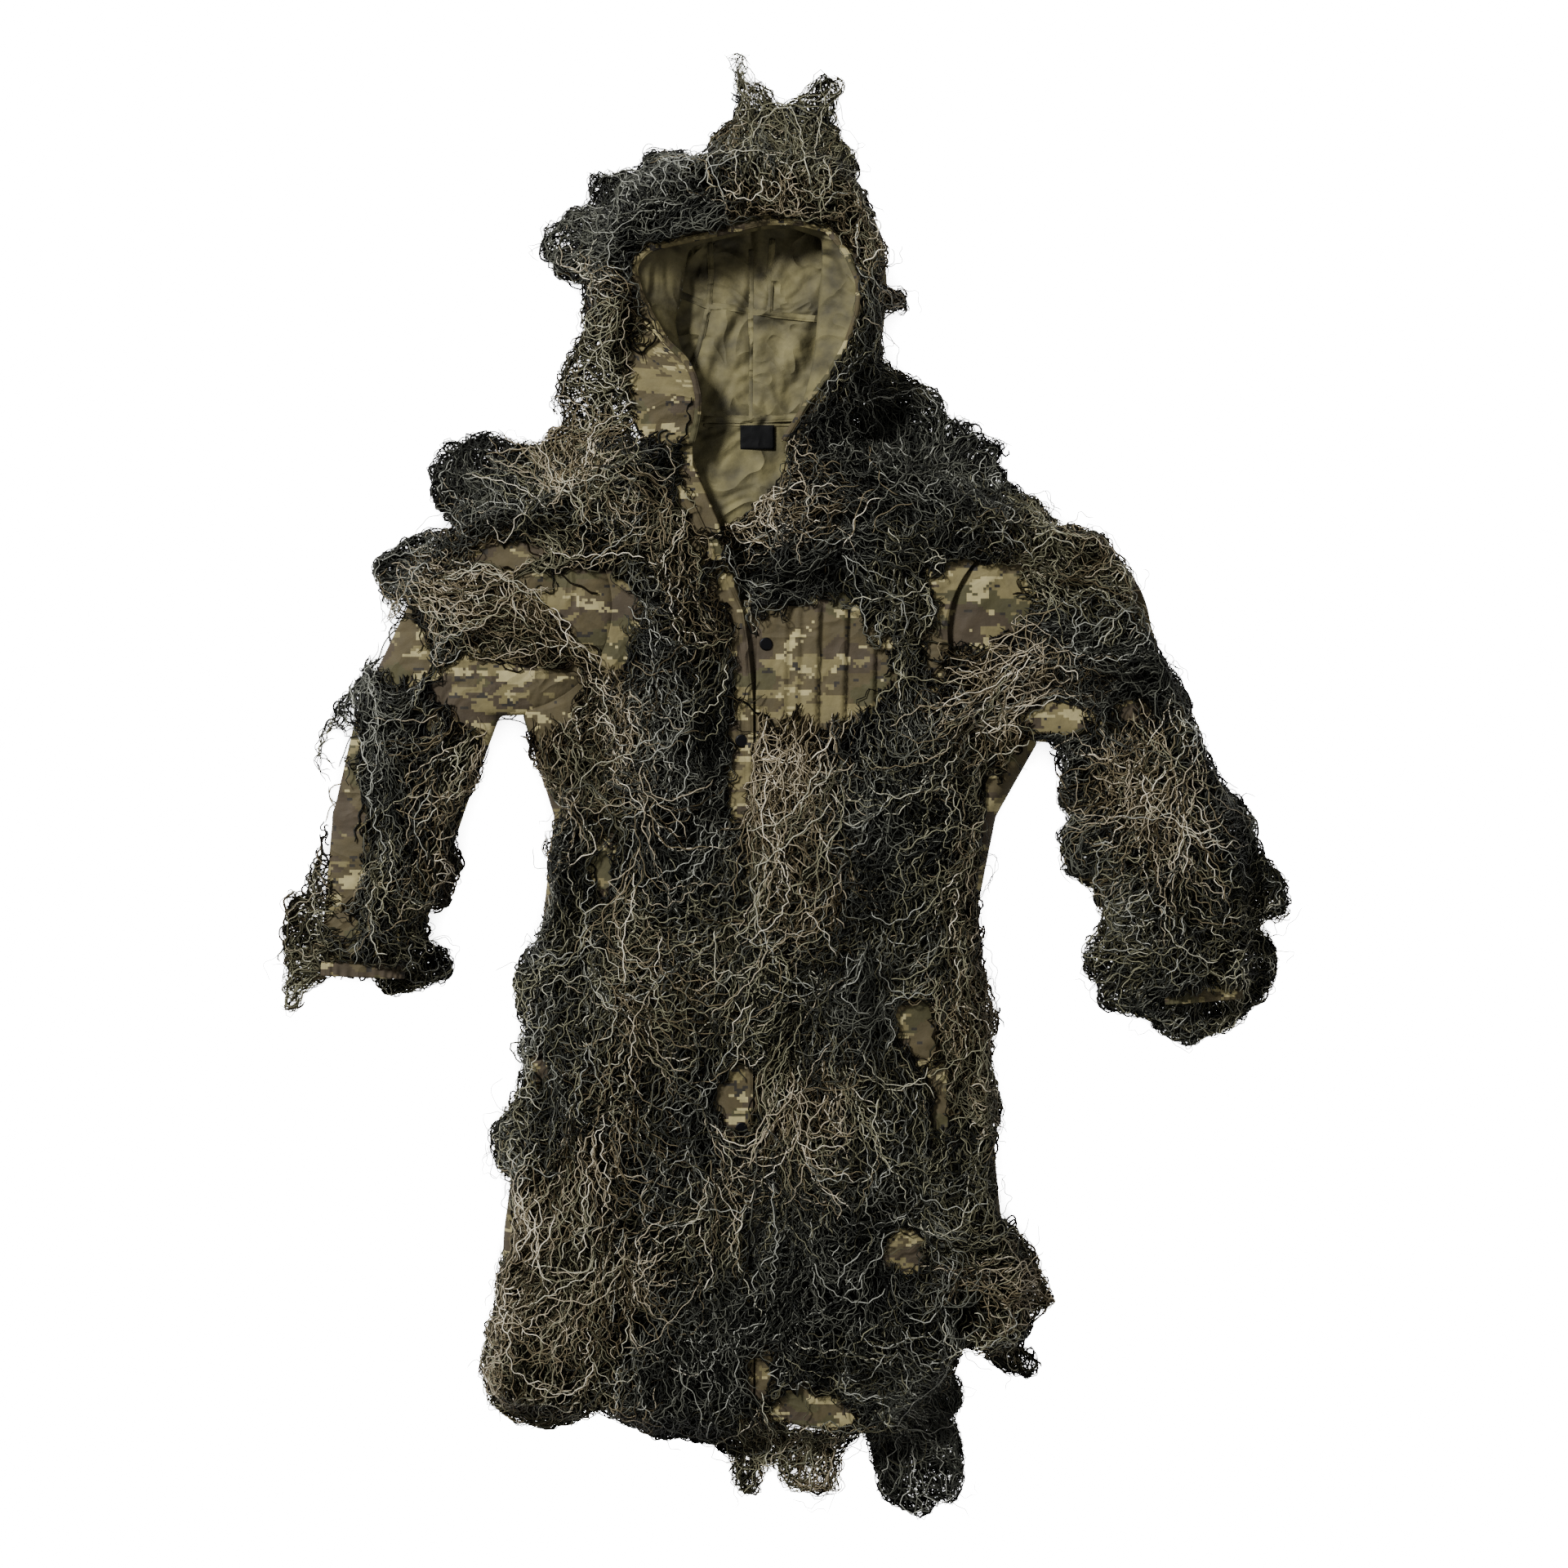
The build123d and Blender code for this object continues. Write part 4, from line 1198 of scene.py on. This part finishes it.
def gathered_rings(side, length, start, scale, ripple):
    """A tube in gathers from the end of a sleeve downwards, beginning start millimetres before it."""
    outer, inner = (np.array(edge[-1], float) for edge in sleeve_edges(side))
    down = np.array([0.06 if side == "left" else -0.10, -1.0])
    turn, wide, high = tube_section(168)
    rings = []
    for t in np.arange(14) / 13:
        shift = down * (t * length - start)
        p, q = outer + shift, inner + shift
        middle, half = (p + q) / 2, (p - q) / 2 * scale * (1 - 0.03 * t)
        wave = ripple * np.sin(turn * 26 + 0.6 * np.sin(turn * 3)) * (0.5 + 0.5 * t)
        z = 24.2 + (12.0 * scale + wave) * high
        rings.append(np.stack([middle[0] + half[0] * wide, middle[1] + half[1] * wide, z], -1))
    grid = np.array(rings)
    return grid[:, ::-1] if side == "right" else grid


def make_cuff(side):
    """The gathered end of a sleeve, and the elastic inside it."""
    gathers = gathered_rings(side, 26.0, 2, 0.985, 1.3)
    elastic = gathered_rings(side, 18.0, -4, 0.90, 0.3)
    cuff = cloth(f"{side}_cuff_gathered", gathers, CAMO, LINING, 1.4, wrap=True)
    band = cloth(f"{side}_elastic_band", elastic, ELASTIC, ELASTIC, 1.0, wrap=True)
    return cuff, band


# ---------------------------------------------------------------- hood

def lining_folds(x, y):
    """Height of the folds where the hood's lining lies on the table, held down by the centre seam."""
    crease = 5.2 * folds(x, y, 64, 80, 20, 71) + 4.2 * folds(x, y, 124, 66, 24, 77) + 4.0
    crease = crease + 2.2 * folds(x, y, 20, 60, 16, 79)
    dip = 1 - 0.8 * np.exp(-(((x + 41) / 6) ** 2))
    return np.clip((y - 436) / 30, 0, 1) * np.maximum(crease, 0.4) * dip


def hood_grid(rim, bulge):
    """The hood's outer face, one row for each point of its rim: the wall to its foot, then the lining."""
    foot = bulge.copy()
    centre = np.array([-42.0, 600.0])
    foot[:, :2] = centre + (bulge[:, :2] - centre) * 0.9
    foot[:, 1] = np.maximum(foot[:, 1], 436)
    foot[:, 2] = 10.0
    control = 2 * bulge - (rim + foot) / 2
    t = np.linspace(0, 1, HOOD_WALL)[None, :, None]
    wall = (1 - t) ** 2 * rim[:, None] + 2 * t * (1 - t) * control[:, None] + t**2 * foot[:, None]
    half = along(HOOD_SPINE, HOOD_RING // 2)
    spine = np.concatenate([half, half[::-1]])
    end = np.concatenate([spine, np.full((HOOD_RING, 1), 11.0)], 1)
    s = np.linspace(0, 1, HOOD_ACROSS - HOOD_WALL + 1)[None, 1:, None]
    floor = foot[:, None] * (1 - s) + end[:, None] * s
    return np.concatenate([wall, floor], 1)


def make_hood():
    """The hood as a bag: rim, side, foot, then the lining it lies on."""
    rim, bulge = eased(RIM, HOOD_RING), eased(HOOD_SIDE, HOOD_RING)
    grid = hood_grid(rim, bulge)
    x, y = grid[..., 0], grid[..., 1]
    column = np.arange(HOOD_ACROSS)
    ramp = np.clip((column - HOOD_WALL) / 12, 0, 1)[None, :]
    grid[..., 2] += ramp * lining_folds(x, y)
    side = np.clip(column / 8, 0, 1)[None, :] * (1 - np.clip((column - 26) / 8, 0, 1))
    grid[..., 2] += side * 2.4 * folds(x, y, 100, 60, 20, 81)
    # The print follows the cloth: across by the way down the side, along by the way round.
    step = np.linalg.norm(np.diff(grid, axis=1), axis=2)
    down = np.concatenate([np.zeros((HOOD_RING, 1)), np.cumsum(step, 1)], 1)
    round_run = np.cumsum(np.linalg.norm(np.diff(bulge[:, :2], axis=0), axis=1))
    round_run = np.repeat(np.concatenate([[0], round_run])[:, None], HOOD_ACROSS, 1)
    pattern = np.where((column < HOOD_WALL)[None, :, None], np.stack([down, round_run], -1), grid[..., :2])
    return cloth("hood_cloth", grid[::-1], CAMO, LINING, pattern=pattern[::-1])


def band(line, width, cols):
    """Points across a path, width wide, and how far each column is from its middle, -1 to 1."""
    line = np.asarray(line, float)
    heading = np.gradient(line, axis=0)
    side = np.stack([-heading[:, 1], heading[:, 0], np.zeros(len(line))], -1)
    side /= np.linalg.norm(side, axis=1, keepdims=True) + 1e-9
    u = np.linspace(-1, 1, cols)
    return line[:, None] + side[:, None] * (u[None, :, None] * width / 2), u


def strip(name, line, width, height, material):
    """A narrow closed band along a path, with a rounded top."""
    grid, u = band(line, width, 7)
    grid[..., 2] += height * (1 - np.abs(u) ** 3)[None, :]
    return cloth(name, grid[:, ::-1], material, material, 0.9)


def stitched(name, line, width, material, rise=1.6):
    """A folded seam with two rows of stitching sunk into it."""
    grid, u = band(line, width, 15)
    stitch = 1.0 * np.exp(-(((np.abs(u) - 0.55) / 0.13) ** 2))
    bead = 0.8 + 0.2 * np.cos(np.arange(len(grid)) * 2.1)[:, None]
    grid[..., 2] += rise * (1 - np.abs(u) ** 4)[None, :] - stitch[None, :] * bead
    return cloth(name, grid[:, ::-1], material, material, 0.9)


def ribbon(name, a, b, outer, inner, cols=12, bow=0.0):
    """A sheet between two curves with the same number of points."""
    u = np.linspace(0, 1, cols)[None, :, None]
    grid = a[:, None] * (1 - u) + b[:, None] * u
    grid[..., 2] += bow * np.sin(math.pi * u[..., 0])
    return cloth(name, grid, outer, inner, 1.0)


def raised(line, height):
    """A path in plan given a height."""
    return np.concatenate([line, np.broadcast_to(height, len(line))[:, None]], 1)


def make_hood_details():
    """The seams of the hood's lining, the facing inside its edge and the hem along it."""
    seams = []
    for name, points, count, width in (
        ("hood_centre_seam", [(-39, 660), (-40, 560), (-41, 446)], 110, 10),
        ("hood_cross_seam", [(-128, 604), (-96, 591), (-48, 585), (-13, 579), (46, 573)], 90, 9),
        ("hood_right_panel_seam", [(-92, 668), (-90, 630), (-93, 590), (-104, 540), (-118, 500)], 90, 8),
        ("hood_left_panel_seam", [(-14, 672), (-17, 630), (-18, 578)], 50, 8),
        ("hood_neck_seam", [(-112, 452), (-42, 450), (22, 453)], 70, 11),
    ):
        line = eased(points, count, 2)
        line = raised(line, 11 + lining_folds(line[:, 0], line[:, 1]) + 1.0)
        seams.append(stitched(name, line, width, LINING))
    rim, inner = eased(RIM, HOOD_RING), eased(FACING, HOOD_RING)
    facing = ribbon("hood_edge_facing", rim, inner, LINING, LINING, 14, bow=3.0)
    hem = stitched("hood_edge_hem", rim + (0, 0, 0.5), 8.5, CAMO, 2.2)
    return seams, facing, hem


# ---------------------------------------------------------------- narrow pieces of the fronts and the neck

def make_front_details():
    made = {}
    edge = [(-133, 372), (-112, 346), (-92, 304), (-72, 258), (-50, 212), (-44, 172), (-38, 104), (-37, 0)]
    line = raised(eased(edge, 120), FACE_Z + 1.2)
    made["hem"] = stitched("right_front_edge_hem", line - (5, 0, 0), 11, CAMO, 1.8)
    down = along([(-42.5, 8, FACE_Z + 0.6), (-42.5, -776, FACE_Z + 0.6)], 240)
    down[:, 2] += 0.9 * value_noise(down[:, 1] / 60, down[:, 1] * 0, 91)
    made["hem_low"] = stitched("right_front_edge_hem_low", down, 10, CAMO, 1.4)
    inner = raised(eased([(-117, 398), (-108, 372), (-96, 346), (-82, 318)], 40), 27.0)
    made["neck_facing"] = strip("right_front_neck_facing", inner, 12, 3.0, CAMO)
    a = along([(-62, 74, 34.5), (-62, -772, 34.5)], 120)
    b = along([(-39, 74, 34.5), (-39, -772, 34.5)], 120)
    made["facing"] = ribbon("right_front_facing_strip", b, a, CAMO, LINING, 6)
    a = along([(-92, 226, 31.5), (-84, 74, 31.5), (-84, -774, 31.5)], 150)
    b = along([(-21, 226, 31.5), (-21, 74, 31.5), (-21, -774, 31.5)], 150)
    made["placket"] = ribbon("left_front_placket_strip", b, a, CAMO, LINING, 12)
    u, v = np.meshgrid(np.linspace(-1, 1, 15), np.linspace(-1, 1, 11))
    edge_drop = np.maximum(np.abs(u), np.abs(v)) ** 8
    label = np.stack([-33 + 21 * u, 428 + 15 * v, 17.0 + 0.8 * np.sin(u * 2.0) - 0.8 * edge_drop], -1)
    made["label"] = cloth("neck_label_cloth", label, LABEL, LABEL, 0.8)
    tape = along([(-99, 443.5, 13.6), (17, 443.5, 13.6)], 40)
    made["tape"] = strip("neck_tape_strip", tape, 5, 1.0, LINING)
    return made


# ---------------------------------------------------------------- bodies, nodes and sheets


def follow(piece, body):
    """Hang a piece on its body; a piece on a front or on the hood only gets its place baked into its mesh."""
    if body in ("right_front", "left_front"):
        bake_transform(piece)
    elif body == "hood":
        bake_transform(piece)
    else:
        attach(piece, body)


def place_yarn(yarn):
    """Hangs the yarn of the back and the sleeves on their bodies; that of the fronts and the hood keeps its place
    baked into its mesh. Returns the pieces of yarn on each sheet of cloth.
    """
    on = {"back": [], "right_front": [], "left_front": [], "hood": [], "right_sleeve": [], "left_sleeve": []}
    for name, piece in yarn:
        body = BODY_OF[name]
        if body == "coat" and not name.startswith("back"):
            body = f"{name.split('_')[0]}_front"
        follow(piece, body)
        on["back" if body == "coat" else body].append(piece)
        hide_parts(name)
    return on


def place_back(back, label, tape):
    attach(back, "coat")
    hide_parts("back_panel")
    for piece, slot, node in ((label, "label", "neck_label"), (tape, "lining", "neck_tape")):
        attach(piece, "coat")
        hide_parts(node)


def place_front(side, piece, strips):
    """strips are the narrow pieces on this front. The last of them stands for a node of its own."""
    body = f"{side}_front"
    follow(piece, body)
    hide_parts(f"{side}_front_panel", f"{side}_side_panel")
    for part in strips:
        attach(part, body)
    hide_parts("right_front_facing" if side == "right" else "left_front_placket")


def place_sleeve(side, tube, cuff, band, yarn):
    for piece in (tube, cuff, band):
        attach(piece, f"{side}_sleeve")
    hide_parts(f"{side}_sleeve_cloth")
    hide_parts(f"{side}_cuff")
    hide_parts(f"{side}_cuff_elastic")


def place_hood(hood, seams, facing, binding):
    for piece in (hood, *seams, facing, binding):
        follow(piece, "hood")
    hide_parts("hood_right_side", "hood_left_side", "hood_centre_panel")
    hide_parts("hood_edge_binding")


def build():
    make_camera()
    make_world()
    for name, values in LIGHTS.items():
        make_light(name, *values)
    make_floor()
    dress_snaps()
    back = make_back()
    details = make_front_details()
    fronts = {side: make_front(side) for side in ("right", "left")}
    sleeves = {side: make_sleeve(side) for side in ("right", "left")}
    cuffs = {side: make_cuff(side) for side in ("right", "left")}
    hood = make_hood()
    seams, facing, binding = make_hood_details()
    drape([back, hood, binding, *fronts.values(), *sleeves.values()])
    on = place_yarn(make_yarn())
    place_back(back, details["label"], details["tape"])
    right_strips = [details[key] for key in ("hem", "hem_low", "neck_facing", "facing")]
    place_front("right", fronts["right"], right_strips)
    place_front("left", fronts["left"], [details["placket"]])
    for side in ("right", "left"):
        place_sleeve(side, sleeves[side], *cuffs[side], on[f"{side}_sleeve"])
    place_hood(hood, seams, facing, binding)


BODY_OF = {node: body for body, nodes in frame["record"]["behaviour"]["bodies"].items() for node in nodes}
build()
